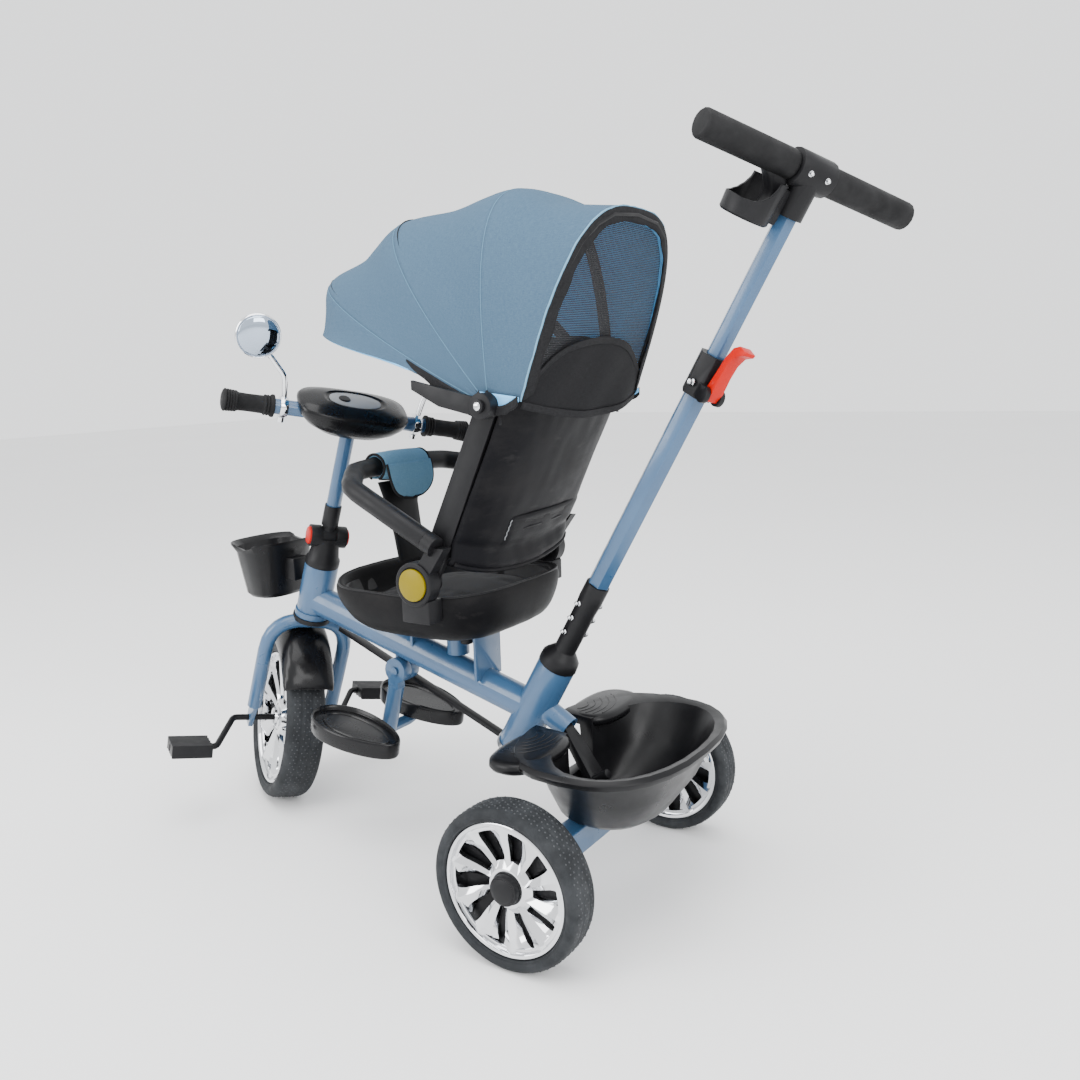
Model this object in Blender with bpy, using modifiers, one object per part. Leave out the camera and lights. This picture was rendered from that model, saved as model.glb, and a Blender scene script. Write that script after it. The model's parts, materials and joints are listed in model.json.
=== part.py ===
"""Children's push tricycle: steering frame with a parent push handle, swivel seat, folding canopy and baskets.

Metres, +Z up. The tricycle drives towards -Y and its left side is +X. The origin is on the ground, under
the middle of the whole object. Every dimension below is measured from the rear axle (y = 0) and the ground.
"""

from math import atan2, copysign, cos, pi, radians, sin, tan

import bmesh
import bpy
from mathutils import Matrix, Vector

# ---------------------------------------------------------------- driving dimensions
ORIGIN_Y = 0.1877            # rear axle ahead of the origin's plane, so that the origin is under the middle
GAP = 0.0004                 # clearance between touching pieces
STEER = radians(32)          # the front wheel and the push handle are turned this far to the right

REAR_R = 0.100               # rear wheel radius
REAR_WIDTH = 0.050
REAR_RIM_R = 0.083
TRACK_HALF = 0.209
AXLE_R = 0.005

FRONT_R = 0.130              # front wheel radius
FRONT_WIDTH = 0.062
FRONT_RIM_R = 0.108
RAKE = radians(19.57)        # the steering axis leans back
HEAD = Vector((0, -0.519, 0.314))
HEAD_SPAN = (0.016, 0.094)    # ends of the head tube along the steering axis from HEAD
HEAD_R = 0.026
WHEEL_DROP = 0.2026          # from HEAD down the steering axis to the wheel's centre
FORK_OFFSET = 0.025
FORK_HALF = 0.0625
LEG_R = 0.0115
STEERER_R = 0.014

HINGE_Z = 0.141              # the fold hinge, along the steering axis from HEAD
BAR_Z = 0.335                # the handlebar, likewise
BAR_R = 0.011
BAR_HALF = 0.1845
GRIP_START = 0.113

POLE_TILT = radians(29.69)
POLE_FOOT = Vector((0, -0.0903, 0.25))
REAR_HEAD = (-0.085, 0.0575)  # ends of the rear head tube along the pole's axis from POLE_FOOT
REAR_HEAD_R = 0.026
TEE_Z = 0.7307
TEE_HALF = 0.149
CLAMP = (0.465, 0.516)

TUBE_FRONT = Vector((0, -0.507, 0.3466))
TUBE_REAR = Vector((0, -0.0998, 0.2333))
TUBE_R = 0.0225
TUBE_WALL = 0.0025

SWIVEL = Vector((0, -0.228, 0.3385))
BOSS = Vector((0, -0.170, 0.430))
BACK_TILT = radians(26)
BACK_HALF = 0.1335
CANOPY_PIVOT = Vector((0, -0.053, 0.650))
FOOT_PIVOT = Vector((0, -0.336, 0.256))

PAINT_BLUE = ("painted_blue", (0.10, 0.27, 0.50), 0.35, 0.0)
BLACK_PLASTIC = ("black_plastic", (0.012, 0.012, 0.014), 0.45, 0.0)
BLACK_GLOSS = ("black_gloss", (0.010, 0.010, 0.012), 0.15, 0.0)
BLACK_STEEL = ("black_steel", (0.015, 0.015, 0.016), 0.35, 0.0)
CHROME = ("chrome", (0.80, 0.80, 0.82), 0.08, 1.0)
STEEL = ("zinc_steel", (0.55, 0.56, 0.57), 0.30, 1.0)
TYRE = ("tyre_rubber", (0.040, 0.042, 0.045), 0.80, 0.0)
GRIP_RUBBER = ("grip_rubber", (0.015, 0.015, 0.015), 0.75, 0.0)
RED = ("red_plastic", (0.85, 0.05, 0.02), 0.35, 0.0)
YELLOW = ("yellow_plastic", (0.70, 0.55, 0.02), 0.35, 0.0)
CANOPY_BLUE = ("canopy_fabric", (0.25, 0.45, 0.62), 0.90, 0.0)
LEATHERETTE = ("black_leatherette", (0.020, 0.020, 0.024), 0.55, 0.0)
SEAT_CLOTH = ("seat_cloth", (0.030, 0.030, 0.032), 0.85, 0.0)
MIRROR = ("mirror_chrome", (0.85, 0.86, 0.88), 0.04, 1.0)


# ---------------------------------------------------------------- scene and objects
def clear_scene():
    for obj in list(bpy.data.objects):
        bpy.data.objects.remove(obj, do_unlink=True)


def collection(name, hidden=False):
    made = bpy.data.collections.new(name)
    bpy.context.scene.collection.children.link(made)
    made.hide_render = hidden
    return made


def material(finish):
    name, colour, roughness, metallic = finish
    found = bpy.data.materials.get(name)
    if found:
        return found
    made = bpy.data.materials.new(name)
    made.use_nodes = True
    shader = made.node_tree.nodes["Principled BSDF"]
    shader.inputs["Base Color"].default_value = (*colour, 1)
    shader.inputs["Roughness"].default_value = roughness
    shader.inputs["Metallic"].default_value = metallic
    made.diffuse_color = (*colour, 1)
    return made


def frame_at(name, place, rotation=(0, 0, 0), parent=None):
    """An empty that carries the pieces of one moving group. The rotation applies Z first, then Y, then X."""
    empty = bpy.data.objects.new(name, None)
    empty.rotation_mode = "ZYX"
    empty.location = place
    empty.rotation_euler = rotation
    empty.parent = parent
    empty.empty_display_size = 0.03
    parts.objects.link(empty)
    return empty


def add(name, data, finish, parent, place=(0, 0, 0), rotation=(0, 0, 0), cutter=False):
    obj = bpy.data.objects.new(name, data)
    obj.rotation_mode = "ZYX"
    obj.location = place
    obj.rotation_euler = rotation
    obj.parent = parent
    if cutter:
        cutters.objects.link(obj)
        obj.hide_render = True
        obj.display_type = "WIRE"
        return obj
    parts.objects.link(obj)
    data.materials.append(material(finish))
    return obj


def smooth(mesh, angle=35):
    mesh.shade_smooth()
    mesh.set_sharp_from_angle(angle=radians(angle))
    return mesh


def mesh_of(build, name="shape"):
    """A mesh made by a function that fills a bmesh, with its faces turned outwards."""
    shape = bmesh.new()
    build(shape)
    bmesh.ops.recalc_face_normals(shape, faces=shape.faces)
    mesh = bpy.data.meshes.new(name)
    shape.to_mesh(mesh)
    shape.free()
    return smooth(mesh)


def boolean(obj, other, operation):
    change = obj.modifiers.new(operation.lower(), "BOOLEAN")
    change.operation = operation
    change.object = other
    change.solver = "EXACT"


def cut(obj, *tools):
    for tool in tools:
        boolean(obj, tool, "DIFFERENCE")


def join(obj, *tools):
    for tool in tools:
        boolean(obj, tool, "UNION")


# ---------------------------------------------------------------- shapes
def box_mesh(size, centre=(0, 0, 0), bevel=0.0):
    def build(shape):
        bmesh.ops.create_cube(shape, size=1)
        bmesh.ops.scale(shape, vec=size, verts=shape.verts)
        if bevel:
            bmesh.ops.bevel(shape, geom=shape.edges[:], offset=bevel, segments=2, affect="EDGES", profile=0.5)
        bmesh.ops.translate(shape, vec=centre, verts=shape.verts)

    return mesh_of(build)


def along(start, end):
    """The matrix that lays a shape's Z axis from start to end."""
    start = Vector(start)
    direction = Vector(end) - start
    return Matrix.Translation(start) @ direction.to_track_quat("Z", "Y").to_matrix().to_4x4(), direction.length


def rod_mesh(start, end, radius, end_radius=None, sides=16, turn=0.0):
    """A cylinder, cone or prism between two points."""
    place, length = along(start, end)
    top = radius if end_radius is None else end_radius

    def build(shape):
        spin = Matrix.Rotation(turn, 4, "Z")
        bmesh.ops.create_cone(shape, cap_ends=True, segments=sides, radius1=radius, radius2=top, depth=length,
                              matrix=place @ Matrix.Translation((0, 0, length / 2)) @ spin)

    return mesh_of(build)


def rings_mesh(rings, closed=True, capped=True):
    """A skin through rings of points, which all have the same count, with a face on each end."""

    def build(shape):
        rows = [[shape.verts.new(point) for point in ring] for ring in rings]
        count = len(rows[0])
        for low, high in zip(rows, rows[1:]):
            for i in range(count if closed else count - 1):
                j = (i + 1) % count
                shape.faces.new((low[i], low[j], high[j], high[i]))
        if capped:
            shape.faces.new(rows[0][::-1])
            shape.faces.new(rows[-1])

    return mesh_of(build)


def oval(half_x, half_y, z, centre_y=0.0, power=2.0, count=20, centre_x=0.0):
    """A ring of points on a superellipse: power 2 is an ellipse and more is squarer."""
    ring = []
    for i in range(count):
        angle = 2 * pi * i / count
        x = copysign(abs(cos(angle)) ** (2 / power), cos(angle)) * half_x
        y = copysign(abs(sin(angle)) ** (2 / power), sin(angle)) * half_y
        ring.append(Vector((centre_x + x, centre_y + y, z)))
    return ring


def turned(name, profile, steps, finish, parent, place=(0, 0, 0), rotation=(0, 0, 0), cutter=False, ring=False):
    """A profile of (radius, height) points turned round the Z axis. A ring's profile closes on itself."""
    mesh = bpy.data.meshes.new(name)
    edges = [(i, i + 1) for i in range(len(profile) - 1)]
    if ring:
        edges.append((len(profile) - 1, 0))
    mesh.from_pydata([(radius, 0, height) for radius, height in profile], edges, [])
    obj = add(name, mesh, finish, parent, place, rotation, cutter)
    screw = obj.modifiers.new("turn", "SCREW")
    screw.axis = "Z"
    screw.steps = steps
    screw.render_steps = steps
    screw.use_merge_vertices = True
    screw.merge_threshold = 1e-5
    screw.use_smooth_shade = True
    return obj


def rounded(points, radius, steps=5):
    """The points of a path, with each inner corner replaced by an arc."""
    points = [Vector(point) for point in points]
    path = [points[0]]
    for before, corner, after in zip(points, points[1:], points[2:]):
        arrive = (corner - before).normalized()
        leave = (after - corner).normalized()
        turn = arrive.angle(leave)
        reach = min(radius * tan(turn / 2), (corner - before).length * 0.49, (after - corner).length * 0.49)
        first = corner - arrive * reach
        last = corner + leave * reach
        for i in range(steps + 1):
            t = i / steps
            path.append(first * (1 - t) ** 2 + corner * 2 * t * (1 - t) + last * t ** 2)
    path.append(points[-1])
    return path


def pipe(name, points, radius, finish, parent, resolution=3, place=(0, 0, 0), rotation=(0, 0, 0)):
    """A round bar along a path, as a curve object."""
    curve = bpy.data.curves.new(name, "CURVE")
    curve.dimensions = "3D"
    curve.bevel_depth = radius
    curve.bevel_resolution = resolution
    curve.use_fill_caps = True
    spline = curve.splines.new("POLY")
    spline.points.add(len(points) - 1)
    for knot, point in zip(spline.points, points):
        knot.co = (*point, 1)
    return add(name, curve, finish, parent, place, rotation)


def pipe_mesh(points, radius, resolution=3):
    """The same bar as a closed mesh, for a piece that is cut or joined."""
    guide = pipe("guide", points, radius, BLACK_STEEL, None, resolution)
    graph = bpy.context.evaluated_depsgraph_get()
    mesh = bpy.data.meshes.new_from_object(guide.evaluated_get(graph))
    bpy.data.objects.remove(guide, do_unlink=True)
    shape = bmesh.new()
    shape.from_mesh(mesh)
    bmesh.ops.remove_doubles(shape, verts=shape.verts, dist=1e-6)
    bmesh.ops.recalc_face_normals(shape, faces=shape.faces)
    shape.to_mesh(mesh)
    shape.free()
    mesh.materials.clear()
    return smooth(mesh)


# ---------------------------------------------------------------- wheels
def tyre(name, radius, width, rim_radius, parent, place):
    half = width / 2
    inner = rim_radius + GAP
    depth = radius - inner
    outer_side = [(0.0, 1.0), (0.62, 0.965), (0.96, 0.66), (0.96, 0.24), (0.80, 0.0)]
    right = [(inner + depth * rise, half * across) for across, rise in outer_side]
    left = [(r, -h) for r, h in reversed(right[1:])]
    profile = right[::-1] + left[::-1]
    return turned(name, profile, 28, TYRE, parent, place, (0, pi / 2, 0), ring=True)


def blade_rings(inner, outer, twist_inner, twist_outer, chord, thickness, angle):
    """Three sections of one twisted wheel blade, from the hub out to the rim."""
    rings = []
    out = Vector((0, cos(angle), sin(angle)))
    side = Vector((0, -sin(angle), cos(angle)))
    axial = Vector((1, 0, 0))
    for t in (0.0, 0.5, 1.0):
        centre = out * (inner + (outer - inner) * t)
        twist = twist_inner + (twist_outer - twist_inner) * t
        wide = axial * cos(twist) + side * sin(twist)
        thin = side * cos(twist) - axial * sin(twist)
        half = chord * (0.34 + 0.20 * t)
        skin = thickness / 2
        rings.append([centre + wide * half + thin * skin, centre - wide * half + thin * skin,
                      centre - wide * half - thin * skin, centre + wide * half - thin * skin])
    return rings


def rim(name, radius, width, hub_radius, bore, blades, parent, place):
    """A chromed rim ring and a hub joined by twisted blades, with a bore for the axle."""
    half = width * 0.40
    wall = 0.0045
    profile = [(radius, half), (radius, -half), (radius - wall, -half), (radius - wall * 1.8, 0),
               (radius - wall, half)]
    ring = turned(name, profile, 28, CHROME, parent, place, (0, pi / 2, 0), ring=True)
    hub = turned(name + "_hub", [(0, half), (hub_radius, half), (hub_radius, -half), (0, -half)], 16, CHROME,
                 parent, place, (0, pi / 2, 0), cutter=True)

    def build(shape):
        for k in range(blades):
            rings = blade_rings(hub_radius - 0.003, radius - wall * 0.9, radians(12), radians(58), width * 0.74,
                                0.0030, 2 * pi * k / blades)
            rows = [[shape.verts.new(point) for point in section] for section in rings]
            for low, high in zip(rows, rows[1:]):
                for i in range(4):
                    j = (i + 1) % 4
                    shape.faces.new((low[i], low[j], high[j], high[i]))
            shape.faces.new(rows[0][::-1])
            shape.faces.new(rows[-1])

    spokes = add(name + "_blades", mesh_of(build), CHROME, parent, place, cutter=True)
    hole = add(name + "_bore", rod_mesh((-width, 0, 0), (width, 0, 0), bore, sides=12), CHROME, parent, place,
               cutter=True)
    join(ring, spokes, hub)
    cut(ring, hole)
    return ring


def rear_wheels():
    for side, sign in (("left", 1), ("right", -1)):
        centre = (sign * TRACK_HALF, 0, REAR_R)
        wheel = frame_at("rear_wheel_" + side, centre, parent=root)
        tyre("rear_tyre_" + side, REAR_R, REAR_WIDTH, REAR_RIM_R, wheel, (0, 0, 0))
        rim("rear_rim_" + side, REAR_RIM_R, REAR_WIDTH, 0.0165, AXLE_R + GAP, 10, wheel, (0, 0, 0))


def front_wheel():
    tyre("front_tyre", FRONT_R, FRONT_WIDTH, FRONT_RIM_R, wheel_frame, (0, 0, 0))
    rim("front_rim", FRONT_RIM_R, FRONT_WIDTH, 0.019, CRANK_R + GAP, 10, wheel_frame, (0, 0, 0))
    back = Vector((0, PEDAL_BACK, -PEDAL_DOWN))
    path = []
    for x, share in ((0.186, 1), (0.118, 1), (0.088, 0), (-0.088, 0), (-0.118, -1), (-0.186, -1)):
        path.append(Vector((x, 0, 0)) + back * share)
    pipe("crank_axle", rounded(path, 0.010, 3), CRANK_R, BLACK_STEEL, wheel_frame, 2)
    for side, sign in (("left", 1), ("right", -1)):
        pin = frame_at("pedal_frame_" + side, Vector((sign * 0.158, 0, 0)) + back * sign, parent=wheel_frame)
        pedal = add("pedal_" + side, pedal_mesh(), BLACK_PLASTIC, pin, (0, 0, 0), (RAKE, 0, 0))
        hole = add("pedal_bore_" + side, rod_mesh((-0.05, 0, 0), (0.05, 0, 0), CRANK_R + GAP, sides=12),
                   BLACK_PLASTIC, pin, cutter=True)
        cut(pedal, hole)


def pedal_mesh():
    """A block with a grooved tread on top and bottom."""
    outline = []
    teeth = 4
    for k in range(teeth + 1):
        y = -0.030 + 0.060 * k / teeth
        outline.append((y, 0.010))
        if k < teeth:
            outline.append((y + 0.007, 0.0075))
    under = [(y, -z) for y, z in reversed(outline)]
    ring = outline + under
    low = [Vector((-0.030, y, z)) for y, z in ring]
    high = [Vector((0.030, y, z)) for y, z in ring]
    return rings_mesh([low, high])


# ---------------------------------------------------------------- frame
def main_frame():
    """The main tube, both head tubes, the fold ear and the rear stub, welded into one hollow piece."""
    front_low = HEAD + steering_axis * HEAD_SPAN[0]
    front_top = HEAD + steering_axis * HEAD_SPAN[1]
    rear_low = POLE_FOOT + pole_axis * REAR_HEAD[0]
    rear_top = POLE_FOOT + pole_axis * REAR_HEAD[1]
    frame = add("main_frame", rod_mesh(TUBE_FRONT, TUBE_REAR, TUBE_R, sides=20), PAINT_BLUE, root)
    outer = [
        rod_mesh(front_low, front_top, HEAD_R, sides=20),
        rod_mesh(rear_low, rear_top, REAR_HEAD_R, sides=20),
        rod_mesh(STUB_START, STUB_END, 0.0165, sides=16),
        rod_mesh(FOOT_PIVOT - Vector((GAP / 2, 0, 0)), FOOT_PIVOT - Vector((0.017, 0, 0)), 0.019, sides=16),
        box_mesh((0.0148, 0.022, 0.045), FOOT_PIVOT + Vector((-0.0086, -0.002, 0.024))),
    ]
    for k, mesh in enumerate(outer):
        join(frame, add(f"frame_outer_{k}", mesh, PAINT_BLUE, root, cutter=True))
    inner = [
        rod_mesh(front_low - steering_axis * 0.03, front_top + steering_axis * 0.02, 0.0186, sides=16),
        rod_mesh(rear_low - pole_axis * 0.02, rear_top + pole_axis * 0.02, 0.0183, sides=16),
        rod_mesh(TUBE_FRONT, TUBE_REAR, TUBE_R - TUBE_WALL, sides=16),
        rod_mesh(HEAD - steering_axis * 0.02, front_low, 0.0280, sides=20),
        rod_mesh(STUB_START.lerp(STUB_END, 0.45), STUB_END.lerp(STUB_START, -0.5), 0.0135, sides=12),
    ]
    for k, mesh in enumerate(inner):
        cut(frame, add(f"frame_inner_{k}", mesh, PAINT_BLUE, root, cutter=True))
    pin = FOOT_PIVOT
    hole = rod_mesh(pin - Vector((0.03, 0, 0)), pin + Vector((0.03, 0, 0)), 0.004, sides=12)
    cut(frame, add("frame_pin_hole", hole, PAINT_BLUE, root, cutter=True))


def seat_bracket():
    """A bent blue plate on the main tube, under the seat's swivel plate, with two black clamp knobs."""
    length = BRACKET[1] - BRACKET[0]
    middle = (BRACKET[0] + BRACKET[1]) / 2
    top = SWIVEL.z - 0.0045
    bracket = add("seat_bracket", box_mesh((0.060, length, 0.0040), (0, middle, top - 0.0020)), PAINT_BLUE, root)
    flange = box_mesh((0.0592, 0.0040, 0.066), (0, BRACKET[1] - 0.0022, top - 0.0346))
    saddle = box_mesh((0.040, 0.0040, 0.050), (0, BRACKET[0] + 0.0050, top - 0.0270))
    post = rod_mesh((0, SWIVEL.y, top - 0.040), (0, SWIVEL.y, top - 0.0008), 0.016, sides=16)
    for k, mesh in enumerate((flange, saddle, post)):
        join(bracket, add(f"bracket_join_{k}", mesh, PAINT_BLUE, root, cutter=True))
    tube = rod_mesh(TUBE_FRONT, TUBE_REAR, TUBE_R + GAP, sides=20)
    stem = rod_mesh((0, SWIVEL.y, SWIVEL.z - 0.0305), (0, SWIVEL.y, 0.36), 0.011 + GAP, sides=16)
    cut(bracket, add("bracket_tube", tube, PAINT_BLUE, root, cutter=True))
    cut(bracket, add("bracket_stem", stem, PAINT_BLUE, root, cutter=True))
    knob = [(0, 0.012), (0.008, 0.012), (0.0092, 0.0105), (0.0092, 0.004), (0.006, 0.003), (0.006, 0), (0, 0)]
    z = top - 0.0040 - GAP
    knobs = turned("seat_knobs", knob, 12, BLACK_PLASTIC, root, (0.021, -0.274, z), (pi, 0, 0))
    second = turned("seat_knob_rear", knob, 12, BLACK_PLASTIC, root, (0.021, -0.196, z), (pi, 0, 0), cutter=True)
    strap = box_mesh((0.009, 0.078, 0.0018), (0.021, -0.235, z - 0.0010))
    join(knobs, second, add("knob_strap", strap, BLACK_PLASTIC, root, cutter=True))
    clear = rod_mesh((0, SWIVEL.y, z - 0.02), (0, SWIVEL.y, z + 0.01), 0.0165, sides=16)
    cut(knobs, add("knob_clear", clear, BLACK_PLASTIC, root, cutter=True))
    plate_profile = [(0.011 + GAP, -GAP), (0.060, -GAP), (0.060, -0.0040), (0.011 + GAP, -0.0040)]
    turned("swivel_plate", plate_profile, 24, BLACK_PLASTIC, root, SWIVEL, ring=True)


def rear_end():
    """The axle beam, the axle, the strut that ties them to the frame, and the basket that sits on them."""
    beam_top = REAR_R + 0.0165
    half = TRACK_HALF - REAR_WIDTH / 2 - 0.004
    beam = add("rear_beam", box_mesh((2 * half, 0.032, 0.036), (0, 0, beam_top - 0.018), 0.003), PAINT_BLUE, root)
    axle_hole = rod_mesh((-0.3, 0, REAR_R), (0.3, 0, REAR_R), AXLE_R + GAP, sides=12)
    cut(beam, add("beam_bore", axle_hole, PAINT_BLUE, root, cutter=True))
    face = TRACK_HALF + REAR_WIDTH * 0.40 + GAP
    half_profile = [(0, face + 0.0050), (0.010, face + 0.0044), (0.0155, face + 0.0024), (0.0165, face),
                    (AXLE_R, face)]
    profile = half_profile + [(r, -x) for r, x in reversed(half_profile)]
    turned("rear_axle", profile, 16, BLACK_PLASTIC, root, (0, 0, REAR_R), (0, pi / 2, 0))
    rear_basket(beam_top)
    rear_strut(beam_top)


def rear_strut(beam_top):
    """A black channel from the frame's stub down to the basket's floor, with its clamp bolt."""
    floor = beam_top + 0.0040 + GAP
    start = STUB_END + (STUB_START - STUB_END).normalized() * 0.006
    foot = Vector((0, 0.004, floor + 0.0115))
    sections = []
    for share, half_x, half_n in ((0.0, 0.0092, 0.0036), (0.22, 0.0125, 0.0050), (1.0, 0.0165, 0.0060)):
        centre = start.lerp(foot, share)
        normal = (foot - start).normalized().cross(Vector((1, 0, 0)))
        sections.append([centre + Vector((sx * half_x, 0, 0)) + normal * sn * half_n
                         for sx, sn in ((1, 1), (-1, 1), (-1, -1), (1, -1))])
    strut = add("rear_strut", rings_mesh(sections), BLACK_STEEL, root)
    pad = box_mesh((0.036, 0.034, 0.012), (0, 0.006, floor + 0.006), 0.002)
    bolt = rod_mesh((0.010, -0.004, floor + 0.030), (0.010, 0.018, floor + 0.044), 0.0065, sides=12)
    join(strut, add("strut_pad", pad, BLACK_STEEL, root, cutter=True))
    join(strut, add("strut_bolt", bolt, BLACK_STEEL, root, cutter=True))


def rear_basket(beam_top):
    """A tapered tub with a rolled rim that widens into a step at each front corner, notched for the strut."""
    low = beam_top + GAP
    rim_z = BASKET_RIM
    levels = [  # half width, front y, rear y, height, squareness
        (0.070, -0.036, 0.080, low, 2.4),
        (0.083, -0.042, 0.094, low + 0.010, 2.4),
        (0.118, -0.047, 0.124, low + 0.052, 2.4),
        (0.145, -0.050, 0.141, rim_z - 0.014, 2.4),
        (0.163, -0.082, 0.151, rim_z - 0.012, 2.5),
        (0.166, -0.085, 0.154, rim_z - 0.005, 2.5),
        (0.161, -0.080, 0.150, rim_z, 2.5),
        (0.146, -0.031, 0.140, rim_z - 0.003, 2.2),
        (0.1135, -0.030, 0.120, low + 0.052, 2.3),
        (0.0795, -0.030, 0.090, low + 0.012, 2.4),
        (0.0665, -0.028, 0.076, low + 0.0036, 2.4),
    ]
    rings = []
    for half, front, rear, z, power in levels:
        rings.append(oval(half, (rear - front) / 2, z, (front + rear) / 2, power, 28))
    basket = add("rear_basket", rings_mesh(rings), BLACK_PLASTIC, root)
    notch = box_mesh((0.062, 0.090, 0.12), (0, -0.060, low + 0.042 + 0.06))
    cut(basket, add("basket_notch", notch, BLACK_PLASTIC, root, cutter=True))


def front_basket():
    """A small flared tub held in front of the head tube by a moulded tongue."""
    y = -0.5925
    levels = [  # half width, half depth, height
        (0.040, 0.030, 0.347),
        (0.046, 0.036, 0.353),
        (0.058, 0.044, 0.420),
        (0.066, 0.050, 0.432),
        (0.066, 0.050, 0.436),
        (0.057, 0.042, 0.428),
        (0.043, 0.033, 0.358),
        (0.038, 0.028, 0.351),
    ]
    rings = [oval(half_x, half_y, z, y, 2.8, 20) for half_x, half_y, z in levels]
    basket = add("front_basket", rings_mesh(rings), BLACK_PLASTIC, root)
    tongue = box_mesh((0.032, 0.026, 0.036), (0, -0.5455, 0.392), 0.002)
    join(basket, add("basket_tongue", tongue, BLACK_PLASTIC, root, cutter=True))
    tube = rod_mesh(HEAD - steering_axis * 0.1, HEAD + steering_axis * 0.2, HEAD_R + GAP, sides=20)
    cut(basket, add("basket_tube", tube, BLACK_PLASTIC, root, cutter=True))
    room = ((0.0405, 0.0305, 0.357), (0.055, 0.040, 0.45))
    clear = [oval(half_x, half_y, z, y, 2.8, 20) for half_x, half_y, z in room]
    cut(basket, add("basket_room", rings_mesh(clear), BLACK_PLASTIC, root, cutter=True))
    dip = rod_mesh((0.03, y, 0.470), (0.10, y, 0.470), 0.044, sides=16)
    cut(basket, add("basket_dip_left", dip, BLACK_PLASTIC, root, cutter=True))
    other = rod_mesh((-0.03, y, 0.470), (-0.10, y, 0.470), 0.044, sides=16)
    cut(basket, add("basket_dip_right", other, BLACK_PLASTIC, root, cutter=True))


# ---------------------------------------------------------------- steering
def fork():
    """The inverted U of the fork with its steerer tube."""
    low = -WHEEL_DROP + 0.036
    path = [(-FORK_HALF, -0.005, low), (-FORK_HALF, 0, CROWN), (FORK_HALF, 0, CROWN), (FORK_HALF, -0.005, low)]
    legs = add("fork", pipe_mesh(rounded(path, 0.055, 6), LEG_R, 3), PAINT_BLUE, steering)
    steerer = rod_mesh((0, 0, CROWN - 0.002), (0, 0, HINGE_Z - 0.018), STEERER_R, sides=16)
    join(legs, add("steerer", steerer, PAINT_BLUE, steering, cutter=True))
    arm = box_mesh((0.034, 0.012, 0.005), (-0.020, 0, -0.0045))
    race = rod_mesh((0, 0, 0.004), (0, 0, HEAD_SPAN[0] - GAP), 0.0275, sides=20)
    join(legs, add("fork_arm", arm, PAINT_BLUE, steering, cutter=True))
    join(legs, add("fork_race", race, PAINT_BLUE, steering, cutter=True))
    bottom = Vector((0, -0.005, low))
    axle = Vector((0, -FORK_OFFSET, -WHEEL_DROP))
    for side, sign in (("left", 1), ("right", -1)):
        x = Vector((sign * (FORK_HALF - 0.002), 0, 0))
        rings = []
        for point, half in ((bottom + Vector((0, 0, 0.006)), 0.008), (axle + Vector((0, 0.002, 0.010)), 0.0125),
                            (axle + Vector((0, 0, -0.012)), 0.009)):
            rings.append([x + point + Vector((dx, dy, 0)) for dx, dy in
                          ((0.0035, half), (-0.0035, half), (-0.0035, -half), (0.0035, -half))])
        join(legs, add("fork_end_" + side, rings_mesh(rings), PAINT_BLUE, steering, cutter=True))
    hole = rod_mesh(axle - Vector((0.1, 0, 0)), axle + Vector((0.1, 0, 0)), CRANK_R + GAP, sides=12)
    cut(legs, add("fork_axle_bore", hole, PAINT_BLUE, steering, cutter=True))


def front_fender():
    """A hood over the wheel that rises to the fork's crown, with a nose in front of it."""
    axle = Vector((0, -FORK_OFFSET, -WHEEL_DROP))
    sections = [(-52, 0.143), (-40, 0.152), (-28, 0.165), (-16, 0.178), (-4, 0.184), (8, 0.182), (20, 0.172),
                (31, 0.158), (40, 0.147)]
    rings = []
    for angle, reach in sections:
        out = Vector((0, sin(radians(angle)), cos(radians(angle))))
        outer = []
        inner = []
        for x, rise in ((0.0405, -0.030), (0.0395, -0.016), (0.0300, -0.004), (0, 0), (-0.0300, -0.004),
                        (-0.0395, -0.016), (-0.0405, -0.030)):
            drop = rise * (reach - 0.135) / 0.030
            outer.append(axle + Vector((x, 0, 0)) + out * (reach + drop))
            inner.append(axle + Vector((x * 0.93, 0, 0)) + out * (reach + drop - 0.0026))
        rings.append(outer + inner[::-1])
    fender = add("front_fender", rings_mesh(rings), BLACK_GLOSS, steering)
    nose = box_mesh((0.040, 0.022, 0.034), (0, -0.0250, -0.0160), 0.004)
    join(fender, add("fender_nose", nose, BLACK_GLOSS, steering, cutter=True))
    crown = rod_mesh((-0.1, 0, CROWN), (0.1, 0, CROWN), LEG_R + GAP, sides=16)
    column = rod_mesh((0, 0, CROWN - 0.006), (0, 0, 0.03), 0.0275 + GAP, sides=16)
    cut(fender, add("fender_crown", crown, BLACK_GLOSS, steering, cutter=True))
    cut(fender, add("fender_column", column, BLACK_GLOSS, steering, cutter=True))


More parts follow.
